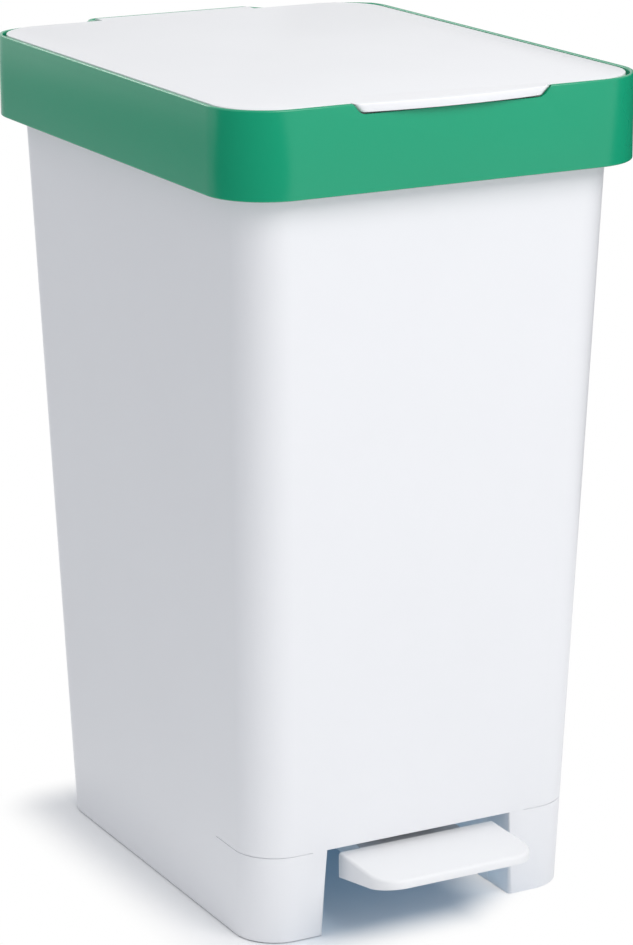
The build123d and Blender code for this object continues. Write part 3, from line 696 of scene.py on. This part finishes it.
# %% Ring: collar, throat, hinge bosses and rod slot
COLLAR_LOW = 434.0
COLLAR_IN, THROAT_IN = 3.2, 5.2     # the collar's outside and inside, from the tub's outside
IN_LEDGE = 1.2                      # how far the collar is joined into the ledge
BOSS_X, BOSS_RADIUS = (50.6, 58.5), 5.0
BOSS_TOP = RING_TOP - BACK_FALL - 0.2       # a little below the wall's top behind
ABOVE_Y, ABOVE_TOP = (HINGE[0] - 6, HINGE[0] + 9), RING_TOP + 2
ROD_SLOT_LOW = 440.0


def tapered_block(name, inset, low, high):
    """A block with the tub's taper and rounded corners, drawn in from the tub's outside."""
    bottom, top = tub_half(low, inset), tub_half(high, inset)
    block = start_block(name, *centred(bottom), (low, high))
    work_on(block)
    pick("FACE", flat_up)
    spread(MIDDLE, bottom, top)
    pick("EDGE", upright)
    round_off(TUB_CORNER - inset, steps=16)
    return block


for x in both_sides(*BOSS_X):
    boss = start_rod("boss", "X", (sum(x) / 2, *HINGE), BOSS_RADIUS, BOSS_X[1] - BOSS_X[0])
    y = (HINGE[0] - BOSS_RADIUS, HINGE[0] + BOSS_RADIUS)
    join(boss, "boss_foot", x, y, (LEDGE_LOW + 1, HINGE[1]))
    work_on(outline, "OBJECT")
    bpy.ops.object.duplicate()
    combine(boss, bpy.context.object, "INTERSECT")
    cut(boss, "above_boss", x, ABOVE_Y, (BOSS_TOP, ABOVE_TOP))
    combine(ring, boss, "UNION")
bpy.data.objects.remove(outline)
combine(ring, tapered_block("collar", COLLAR_IN, COLLAR_LOW, LEDGE_LOW + IN_LEDGE), "UNION")
combine(ring, tapered_block("throat", THROAT_IN, COLLAR_LOW - FAR_PAST, LEDGE_TOP + FAR_PAST), "DIFFERENCE")
slot_y = (MIDDLE + RIM_HALF[1], HINGE[0] - BOSS_RADIUS)
cut(ring, "rod_slot", (-SLOT_HALF, SLOT_HALF), slot_y, (ROD_SLOT_LOW, LEDGE_TOP + PAST))
print("the ring has", len(ring.data.polygons), "faces after cutting")

# %% [markdown]
# The grip notch. In the middle of the front the ring's edge dips by 6 mm, where the fingers lift
# the lid. Its ends lean outwards and run into the edge in soft curves. The cutter is a block whose
# lower edge is scaled in and whose lower corners are rounded; the upper corners are rounded on the
# ring itself, once the notch is cut.

# %% Ring: grip notch
NOTCH_LOW, NOTCH_HALF, NOTCH_TOP_HALF = 464.0, 54.3, 59.3
NOTCH_CORNER, NOTCH_DEEP = 2.8, 3.2
RING_EDGE = 0.45
ring_front = MIDDLE - RING_HALF[1]
cutter_top = RING_TOP + FAR_PAST
reach = NOTCH_HALF + (cutter_top - NOTCH_LOW) * (NOTCH_TOP_HALF - NOTCH_HALF) / (RING_TOP - NOTCH_LOW)
notch_y = (ring_front - FAR_PAST, ring_front + NOTCH_DEEP)


def along_y(middle, direction):
    """True for an edge that runs from front to back."""
    return abs(direction.y) > 0.9


def notch_top(middle, direction):
    """True for the two upper corners of the notch."""
    at_side = abs(abs(middle.x) - NOTCH_TOP_HALF) < 2 * NEAR
    return along_y(middle, direction) and at_side and middle.z > RING_TOP - NEAR


notch = start_block("notch", (-reach, reach), notch_y, (NOTCH_LOW, cutter_top))
work_on(notch)
pick("FACE", flat_down)
spread(0, (reach, 1), (NOTCH_HALF, 1))
pick("EDGE", lambda middle, direction: along_y(middle, direction) and middle.z < NOTCH_LOW + NEAR)
round_off(NOTCH_CORNER, steps=6)
combine(ring, notch, "DIFFERENCE")
work_on(ring)
print("notch corners:", pick("EDGE", notch_top))
round_off(NOTCH_CORNER, steps=6)
soften(ring, RING_EDGE, steps=3)
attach(ring, "ring")
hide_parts("bag_ring")
give_finish(ring, green_ring)

# %% [markdown]
# The lid. A shallow tray turned upside down: a plate 2.4 mm thick with a rim turned down inside the
# ring, stiffened by thin ribs. Its top edge is nearly sharp, so the gap round it draws a fine line.

# %% Lid: plate, rim and ribs
LID_HALF = (121.4, 160.4)
LID_TOP, LID_UNDER, LID_LOW = 469.8, 467.4, 454.8
LID_RIM = 2.2
LID_CORNER, LID_ROUND = 29.9, 0.5
RIB_HALF, RIB_LOW = 0.9, 462.4
RIBS_X, RIBS_Y = (-52, 52), (-96, 0, 96)        # from the middle
IN_PLATE = 0.6                                  # how far a piece under the lid is joined into its plate

lid = start_block("lid_moulding", *centred(LID_HALF), (LID_LOW, LID_TOP))
work_on(lid)
pick("EDGE", upright)
round_off(LID_CORNER, steps=18)
pick("EDGE", lambda middle, direction: middle.z > LID_TOP - NEAR)
round_off(LID_ROUND, steps=3)
pick("FACE", flat_down)
inset_by(LID_RIM)
pull_out(z=LID_UNDER - LID_LOW)
across, along = centred(drawn_in(LID_HALF, LID_RIM / 2))
rib_z = (RIB_LOW, LID_UNDER + IN_PLATE)
for x in RIBS_X:
    join(lid, "rib", (x - RIB_HALF, x + RIB_HALF), along, rib_z)
for y in RIBS_Y:
    join(lid, "rib", across, (MIDDLE + y - RIB_HALF, MIDDLE + y + RIB_HALF), rib_z)
print("the lid has", len(RIBS_X) + len(RIBS_Y), "ribs")

# %% [markdown]
# The grip lip. The lid reaches forward through the ring's notch as a tab, whose front edge bows out
# past the ring. It is a block that narrows downwards like the notch and leans in a little towards its
# lower edge, with its two front corners rounded. Its front face is bisected every 6 mm, and each cut
# is moved forward along a flat curve, which is how a bow is made by hand. Its top edge is rounded a
# little, so that the front shows as a bright band under the lid's top.

# %% Lid: grip lip
TAB_LOW = 465.2
TAB_HALF, TAB_LOW_HALF = 58.3, 54.2
TAB_CORNER, TAB_EDGE = 3.0, 0.9
TAB_LEAN = 0.5      # the lip's front leans in towards its lower edge
TAB_DEEP = 9.0
LIP_FRONT_END, LIP_BOW = -164.2, 4.2        # y of the front at its ends, and how far its middle bows out
BOW_HALF = TAB_LOW_HALF - TAB_CORNER
BOW_CUTS = range(-48, 49, 6)
TAB_SHARP = 50      # degrees


def on_front(middle, direction):
    """True for what lies in the lip's front face before it is bowed."""
    return middle.y < LIP_FRONT_END + TAB_LEAN + NEAR


def tab_corner(middle, direction):
    """True for the two front corners."""
    return middle.y < LIP_FRONT_END + TAB_LEAN and abs(direction.z) > 0.5


def tab_top(middle, direction):
    """True for the edges round the lip's top, apart from the one inside the lid."""
    return middle.y < LIP_FRONT_END + TAB_DEEP - 1 and middle.z > LID_TOP - NEAR


tab_y = (LIP_FRONT_END, LIP_FRONT_END + TAB_DEEP)
tab = start_block("grip_tab", (-TAB_HALF, TAB_HALF), tab_y, (TAB_LOW, LID_TOP))
work_on(tab)
pick("FACE", flat_down)
spread(0, (TAB_HALF, 1), (TAB_LOW_HALF, 1))
move(y=TAB_LEAN)
pick("EDGE", tab_corner)
round_off(TAB_CORNER, steps=6)
for x in BOW_CUTS:
    pick("FACE", lambda middle, direction: direction.y < -0.99)
    bpy.ops.mesh.bisect(plane_co=mm(x, 0, 0), plane_no=(1, 0, 0))
for x in BOW_CUTS:
    pick("VERT", lambda middle, direction: abs(middle.x - x) < NEAR and on_front(middle, direction))
    move(y=-LIP_BOW * (1 - (x / BOW_HALF) ** 2))
print("top edges of the lip:", pick("EDGE", tab_top, sharper_than=TAB_SHARP))
round_off(TAB_EDGE, steps=4)
combine(lid, tab, "UNION")

# %% [markdown]
# The hinge. Behind, the plate runs on into a barrel that turns on two stub pins between the ring's
# bosses. A small nose under the plate is what the lift rod pushes. The rim is cut away in the middle
# to let the rod's head past.

# %% Lid: hinge barrel and lift nose
BARREL_HALF, BARREL_RADIUS = 50.0, 5.0
NOSE = (159.76, 457.63)         # y and z of the nose's round end
NOSE_HALF, NOSE_RADIUS = 5.0, 2.5
WAY_DEEP = 3.0                  # through the rim, which is 2.2 mm thick
LID_EDGE = 0.35
lid_back = MIDDLE + LID_HALF[1]

join(lid, "hinge_plate", (-BARREL_HALF, BARREL_HALF), (lid_back - LID_RIM, HINGE[0]), (LID_UNDER, LID_TOP))
barrel = start_rod("barrel", "X", (0, *HINGE), BARREL_RADIUS, 2 * BARREL_HALF, sides=56)
combine(lid, barrel, "UNION")
way_y, way_z = (lid_back - WAY_DEEP, lid_back + PAST), (LID_LOW - PAST, LID_UNDER - HAIR)
cut(lid, "rod_way", (-SLOT_HALF, SLOT_HALF), way_y, way_z)
stem_y = (NOSE[0] - NOSE_RADIUS, NOSE[0] + NOSE_RADIUS)
join(lid, "nose_stem", (-NOSE_HALF, NOSE_HALF), stem_y, (NOSE[1], LID_UNDER + IN_PLATE))
combine(lid, start_rod("nose", "X", (0, *NOSE), NOSE_RADIUS, 2 * NOSE_HALF), "UNION")
soften(lid, LID_EDGE)
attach(lid, "lid")
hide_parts("lid_panel")
give_finish(lid, white_lid)

# %% [markdown]
# The tread. A hollow pad for the toe, 50 mm deep, whose top is nearly level and whose underside rises
# to the front, so that it thins from 15 mm to 5 mm. Its two front corners are generous, and its top
# edge is the roundest edge of the whole bin, because a shoe meets it. It is a block with its front
# edges moved, hollowed by a smaller one of the same make.

# %% Tread: pad
TREAD_HALF = 49.5
TREAD_BACK, TREAD_FRONT = -127.25, -178.0
TREAD_LOW, TREAD_HIGH = 32.8, 47.6          # at the back
NOSE_LOW, NOSE_HIGH = 41.8, 46.8            # at the front
TREAD_WALL = 2.6
TREAD_CORNER, TREAD_ROUND, TREAD_EDGE = 16.0, 1.8, 0.35


def tread_block(name, inset, low, nose_low):
    """The tread's outline, drawn in all round, from its underside at the back and front to its top."""
    fall = (TREAD_HIGH - NOSE_HIGH) / (TREAD_BACK - TREAD_FRONT)
    front, rear = TREAD_FRONT + inset, TREAD_BACK - inset
    block = start_block(name, (-TREAD_HALF + inset, TREAD_HALF - inset), (front, rear),
                        (low, TREAD_HIGH - inset - fall * inset))

    def front_edge(middle, direction):
        """True for the front face's upper and lower edge."""
        return abs(direction.x) > 0.9 and middle.y < front + NEAR

    work_on(block)
    pick("EDGE", lambda middle, direction: front_edge(middle, direction) and middle.z > low + 1)
    move(z=-fall * (rear - front))
    pick("EDGE", lambda middle, direction: front_edge(middle, direction) and middle.z < low + 1)
    move(z=nose_low - low)
    pick("EDGE", lambda middle, direction: upright(middle, direction) and middle.y < front + NEAR)
    round_off(TREAD_CORNER - inset, steps=14)
    return block


def tread_top(middle, direction):
    """True for the edges round the tread's top, apart from the one at its back."""
    return middle.z > NOSE_HIGH - NEAR and abs(direction.z) < 0.5 and middle.y < TREAD_BACK - NEAR


tread = tread_block("tread_moulding", 0, TREAD_LOW, NOSE_LOW)
print("edges of the tread's top:", pick("EDGE", tread_top))
round_off(TREAD_ROUND, steps=5)
below = TREAD_LOW - FAR_PAST
combine(tread, tread_block("tread_hollow", TREAD_WALL, below, below), "DIFFERENCE")

# %% [markdown]
# The neck. Behind the tread a ribbed neck takes the steel lever, which is pushed in from behind and
# held by two screws. It lies 3 mm lower than the tread, in the dark of the tunnel, and shows from
# below and in the gap beside the tread.

# %% Tread: neck
NECK_HALF, NECK_BACK, NECK_LOW, NECK_HIGH = 32.0, -87.75, 33.6, 44.6
LEVER_HALF, LEVER_TOP = 13.0, 42.0
IN_TREAD = 1.3                  # how far the neck is joined into the tread's back wall
POCKET_PAST = 3.0
pocket_z = (NECK_LOW - POCKET_PAST, LEVER_TOP)

neck = start_block("neck", (-NECK_HALF, NECK_HALF), (TREAD_BACK - IN_TREAD, NECK_BACK), (NECK_LOW, NECK_HIGH))
for x in both_sides(LEVER_HALF + TREAD_WALL, NECK_HALF - TREAD_WALL):
    cut(neck, "pocket", x, (TREAD_BACK, NECK_BACK - TREAD_WALL), pocket_z)
combine(tread, neck, "UNION")
cut(tread, "channel", (-LEVER_HALF, LEVER_HALF), (TREAD_BACK, NECK_BACK + POCKET_PAST), pocket_z)
soften(tread, TREAD_EDGE)
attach(tread, "pedal")
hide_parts("pedal_tread")
give_finish(tread, white_tread)

# %% [markdown]
# Finishes of the small pieces. Steel is a metal with its own grey as base colour; what tells bright
# drawn steel from zinc plate is how rough it is and whether it has draw lines or a crystal cloud.
# The lever's plating has dulled to a pale grey bloom, so only a third of it still answers as metal.
# Rubber is nearly black and dull. Acetal is an opaque, slightly waxy white.


# %% Metals, rubber and acetal
PLATE_DEPTH = 0.05      # mm


def metal(name, colour, roughness, cloud_size, stretch, metallic=1.0):
    """Steel: a noise, stretched along the way it was drawn or left round, moves its roughness."""
    finish, tree, shader = new_finish(name)
    place = add_node(tree, "ShaderNodeTexCoord")
    drawn = add_node(tree, "ShaderNodeMapping", {"Vector": place.outputs["Object"]}, Scale=stretch)
    cloud = noise(tree, drawn.outputs["Vector"], cloud_size, Detail=4.0)
    spread_of_it = add_node(tree, "ShaderNodeMapRange", {"Value": cloud},
                            To_Min=roughness - 0.1, To_Max=roughness + 0.12)
    relief = add_node(tree, "ShaderNodeBump", {"Height": cloud}, Strength=0.4, Distance=mm(PLATE_DEPTH))
    feed(shader, {"Base Color": linear(colour), "Metallic": metallic,
                  "Roughness": spread_of_it.outputs["Result"], "Normal": relief.outputs["Normal"]})
    return finish


def dull(name, colour, deeper, roughness, grain_size, grain_depth):
    """Rubber, elastomer or acetal: an even colour with a fine moulded grain."""
    finish, tree, shader = new_finish(name)
    grain = noise(tree, add_node(tree, "ShaderNodeTexCoord").outputs["Object"], grain_size, Detail=2.0)
    relief = add_node(tree, "ShaderNodeBump", {"Height": grain}, Strength=1.0, Distance=mm(grain_depth))
    feed(shader, {"Base Color": mixed(tree, grain, colour, deeper), "Roughness": roughness,
                  "Normal": relief.outputs["Normal"]})
    return finish


bright_steel = metal("bright_drawn_steel", "C9CACC", 0.28, 2.0, (1, 1, 0.04))
zinc_plate = metal("dulled_zinc_plated_steel", "D3D8DE", 0.5, 4.0, (1, 1, 1), metallic=0.35)
screw_steel = metal("zinc_plated_screw_steel", "B9BCC0", 0.36, 1.5, (1, 1, 1))
rubber = dull("moulded_rubber", "2C2D2F", "242527", 0.8, 1.2, 0.03)
elastomer = dull("soft_elastomer", "A9ACAE", "9EA1A3", 0.55, 1.5, 0.02)
acetal = dull("natural_acetal", "E6E5E0", "DEDDD7", 0.35, 1.2, 0.01)

CARRIED_OVER = {
    white_tub: ["rod_cover", "saddle_cap_left", "saddle_cap_right"],
    acetal: ["rod_guide_lower", "rod_guide_upper", "rod_head", "rod_shoe"],
    rubber: ["foot_pad_front_left", "foot_pad_front_right", "foot_pad_rear_left", "foot_pad_rear_right",
             "pedal_stop_pad"],
    elastomer: ["lid_buffers"],
    zinc_plate: ["pedal_lever"],
    screw_steel: ["saddle_screws", "cover_screws", "tread_screws"],
    bright_steel: ["pivot_pin", "pin_clips", "lid_hinge_pin_left", "lid_hinge_pin_right", "push_rod"],
}
for finish, names in CARRIED_OVER.items():
    for name in names:
        give_finish(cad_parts[name], finish)
print("CAD nodes with a finish of their own:", sum(len(names) for names in CARRIED_OVER.values()))

# %% [markdown]
# Light and floor. The photograph is a white sweep in soft daylight: a broad light straight in front
# and above, and white all round that fills the shadows. The left side of the tub is a third darker
# than its front. The world gives the fill and shows as plain white behind the bin and in its gloss,
# and one large lamp near the bin gives the direction, and a slow fall of light from top to foot. A
# weaker lamp behind lights the back of the lid and the round edge of the ring.

# %% World
FILL = 0.56


def seen_plain(tree):
    """1 for what the camera sees direct, and 1 for what is seen direct, in gloss or through glass."""
    ray = add_node(tree, "ShaderNodeLightPath").outputs
    mirrored = maths(tree, "MAXIMUM", ray["Is Glossy Ray"], ray["Is Transmission Ray"])
    return ray["Is Camera Ray"], maths(tree, "MAXIMUM", ray["Is Camera Ray"], mirrored)


world = bpy.data.worlds.new("white_sweep")
bpy.context.scene.world = world
world.use_nodes = True
air = world.node_tree
air.nodes.clear()
_, seen = seen_plain(air)
strength = add_node(air, "ShaderNodeMapRange", {"Value": seen}, To_Min=FILL, To_Max=1.0)
sky = add_node(air, "ShaderNodeBackground",
               {"Color": mixed(air, seen, "F9FBFF", "FFFFFF"), "Strength": strength.outputs["Result"]})
add_node(air, "ShaderNodeOutputWorld", {"Surface": sky.outputs["Background"]})
print("fill:", FILL)

# %% Lamps
LAMP_AIM = Vector(mm(0, 0, 250))
LAMPS = (       # name, azimuth and elevation in degrees, distance and size in metres, watts
    ("broad_lamp", 9, 41, 1.8, (1.3, 0.9), 16.9),
    ("back_lamp", -166, 33, 1.8, (0.55, 0.35), 4.7),
)
for name, azimuth, elevation, away, size, watts in LAMPS:
    azimuth, elevation = radians(azimuth), radians(elevation)
    bpy.ops.object.light_add(type="AREA")
    lamp = bpy.context.object
    lamp.name = name
    lamp.data.shape = "RECTANGLE"
    lamp.data.size, lamp.data.size_y = size
    lamp.data.energy = watts
    lamp.data.color = linear("FFFDFA")[:3]
    towards = Vector((sin(azimuth) * cos(elevation), -cos(azimuth) * cos(elevation), sin(elevation)))
    lamp.location = LAMP_AIM + towards * away
    lamp.rotation_euler = towards.to_track_quat("Z", "Y").to_euler()
    print(name, "at", [round(value, 2) for value in lamp.location])

# %% [markdown]
# The floor is matt and white. Close to the bin it keeps the soft shadow that the bin stands in, and
# further out it is plain white to the camera, as the sweep in the photograph is. The change follows
# the distance from the outline of the bin's foot, worked out with a few vector nodes. It starts
# earlier in front, and earlier still to the right, where the photograph has almost no shadow. Under
# the bin the paper is painted blue and glows a little: a painted blue shade and a painted glow, which
# give the tunnel its blue shade.

# %% Floor
FLOOR_RADIUS = 9                            # metres
bpy.ops.mesh.primitive_circle_add(vertices=96, radius=FLOOR_RADIUS, fill_type="NGON")
floor = bpy.context.object
floor.name = "sweep_floor"
white_floor, tree, shader = new_finish("matt_white_sweep")
feed(shader, {"Roughness": 0.9, "Specular IOR Level": 0.2})
print("the floor is", 2 * FLOOR_RADIUS, "m across")

# %% Floor: distances
SHADOW_START, SHADOW_END = 0.002, 0.048     # metres from the foot: the floor turns plain white between them
SHADOW_HALF = (FOOT_HALF[0], FOOT_HALF[1] - 12)             # where that distance is measured from
RIGHT_START, RIGHT_END, RIGHT_GAIN = 0.025, 0.125, 0.07     # further right, it counts as more
BLUE_SHADE_HALF, BLUE_SHADE_END = (55, 125), 0.045      # the paper painted blue as shade, and how far round it it runs out

place = add_node(tree, "ShaderNodeTexCoord")
quarter = add_node(tree, "ShaderNodeVectorMath", {"Vector": place.outputs["Object"]}, operation="ABSOLUTE")


def distance_from(half):
    """The distance of a place on the floor from a rectangle round the origin, given by its half sizes."""
    beyond = add_node(tree, "ShaderNodeVectorMath", {0: quarter.outputs["Vector"], 1: (*mm(*half), 0)},
                      operation="SUBTRACT")
    outside = add_node(tree, "ShaderNodeVectorMath", {0: beyond.outputs["Vector"]}, operation="MAXIMUM")
    return add_node(tree, "ShaderNodeVectorMath", {"Vector": outside.outputs["Vector"]}, operation="LENGTH")


away = distance_from(SHADOW_HALF)
from_cool = distance_from(BLUE_SHADE_HALF)
print("the floor's shadow ends", round(1000 * SHADOW_END), "mm from the foot")

# %% [markdown]
# The floor's finish. The distances drive two changes: from paper painted blue under the bin, a painted
# shade, to white paper, and from paper with a shadow on it to plain white further out. What is seen
# direct, in gloss or through glass gets the plain white, and all other light gets the paper, so that
# the white lights nothing. The painted glow is the other way round: the camera never sees it, and it
# lights the tunnel.

# %% Floor: painted blue shade, painted glow, paper, shadow and plain white
# Strength of the painted glow: under the bin the paper glows faintly and lights the tunnel, though it is no
# lamp.
PAINTED_GLOW = 0.25

across = add_node(tree, "ShaderNodeSeparateXYZ", {"Vector": place.outputs["Object"]})
to_right = add_node(tree, "ShaderNodeMapRange", {"Value": across.outputs["X"]},
                    From_Min=RIGHT_START, From_Max=RIGHT_END, To_Max=RIGHT_GAIN)
counted = maths(tree, "ADD", away.outputs["Value"], to_right.outputs["Result"])
fade = add_node(tree, "ShaderNodeMapRange", {"Value": counted},
                interpolation_type="SMOOTHSTEP", From_Min=SHADOW_START, From_Max=SHADOW_END)
cool = add_node(tree, "ShaderNodeMapRange", {"Value": from_cool.outputs["Value"]}, From_Max=BLUE_SHADE_END)
in_camera, seen = seen_plain(tree)
# The painted glow covers the blue paper under the bin and is hidden from the camera.
in_painted_glow = maths(tree, "LESS_THAN", from_cool.outputs["Value"], SHADOW_START)
painted_glow = maths(tree, "MULTIPLY", in_painted_glow, maths(tree, "SUBTRACT", 1.0, in_camera))
# Under the bin the paper is painted blue as shade, and it gets a painted glow that lights the tunnel.
feed(shader, {"Base Color": mixed(tree, cool.outputs["Result"], "DCE6F0", "F4F5F7"),
              "Emission Color": linear("A4DDFF"), "Emission Strength": maths(tree, "MULTIPLY", painted_glow, PAINTED_GLOW)})
white_out = maths(tree, "MULTIPLY", fade.outputs["Result"], seen)
plain_white = add_node(tree, "ShaderNodeEmission", Color=linear("FFFFFF"), Strength=1.0)
surface = add_node(tree, "ShaderNodeMixShader",
                   {0: white_out, 1: shader.outputs["BSDF"], 2: plain_white.outputs["Emission"]})
feed(tree.nodes["Material Output"], {"Surface": surface.outputs["Shader"]})
give_finish(floor, white_floor)
floor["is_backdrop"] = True
print("the paper under the bin glows at", PAINTED_GLOW)

# %% [markdown]
# Three cards show in the gloss alone. Two dark ones lean outwards, one to the left of the camera and
# one to the right of the bin: in the photograph the rounded corners of the green ring have a deep
# band, where they mirror the dark of the room beyond the white paper. A grey one lies on the floor
# behind, to the left. The ring's left side mirrors it, and is duller there than plain white makes it.

# %% Cards
def card_finish(name, colour):
    """Matt card of one colour."""
    finish, _, shader = new_finish(name)
    feed(shader, {"Base Color": linear(colour), "Roughness": 0.9})
    return finish


def show_in_gloss_alone(card, finish):
    """Give a card its finish, and hide it from all but the gloss of the bin."""
    give_finish(card, finish)
    card.visible_camera = False
    card.visible_diffuse = False
    card.visible_shadow = False
    card.visible_transmission = False
    card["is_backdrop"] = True
    print(card.name, "at", [round(value, 2) for value in card.location])


black_card = card_finish("matt_black_card", "141416")
grey_card = card_finish("matt_grey_card", "DCDDDF")
CARD_AWAY, CARD_TALL, CARD_LEAN = 1.05, 1.25, radians(45)
CARD_UP = Vector((0, 0, CARD_TALL * cos(CARD_LEAN) / 2))
GREY_PLACE, GREY_SIZE = (-1.66, 1.5, 0.002), (3, 4, 1)
for name, azimuth, wide in (("dark_card_left", radians(-55), 3.0), ("dark_card_right", radians(103), 2.0)):
    where = Vector((sin(azimuth), -cos(azimuth), 0)) * CARD_AWAY + CARD_UP
    bpy.ops.mesh.primitive_plane_add(size=1, location=where, rotation=(radians(90) + CARD_LEAN, 0, azimuth))
    card = bpy.context.object
    card.name = name
    card.scale = (wide, CARD_TALL, 1)
    show_in_gloss_alone(card, black_card)
bpy.ops.mesh.primitive_plane_add(size=1, location=GREY_PLACE)
card = bpy.context.object
card.name = "grey_card_behind"
card.scale = GREY_SIZE
show_in_gloss_alone(card, grey_card)

# %% [markdown]
# Colour is left as the plain Standard view, so that a hex value renders as it is written.

# %% View and sizes
bpy.context.scene.view_settings.view_transform = "Standard"
LOOKS_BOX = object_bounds()
for name, box in (("CAD", CAD_BOX), ("looks", LOOKS_BOX)):
    print(name, "box in mm:", [[round(value * 1000, 2) for value in corner] for corner in box])
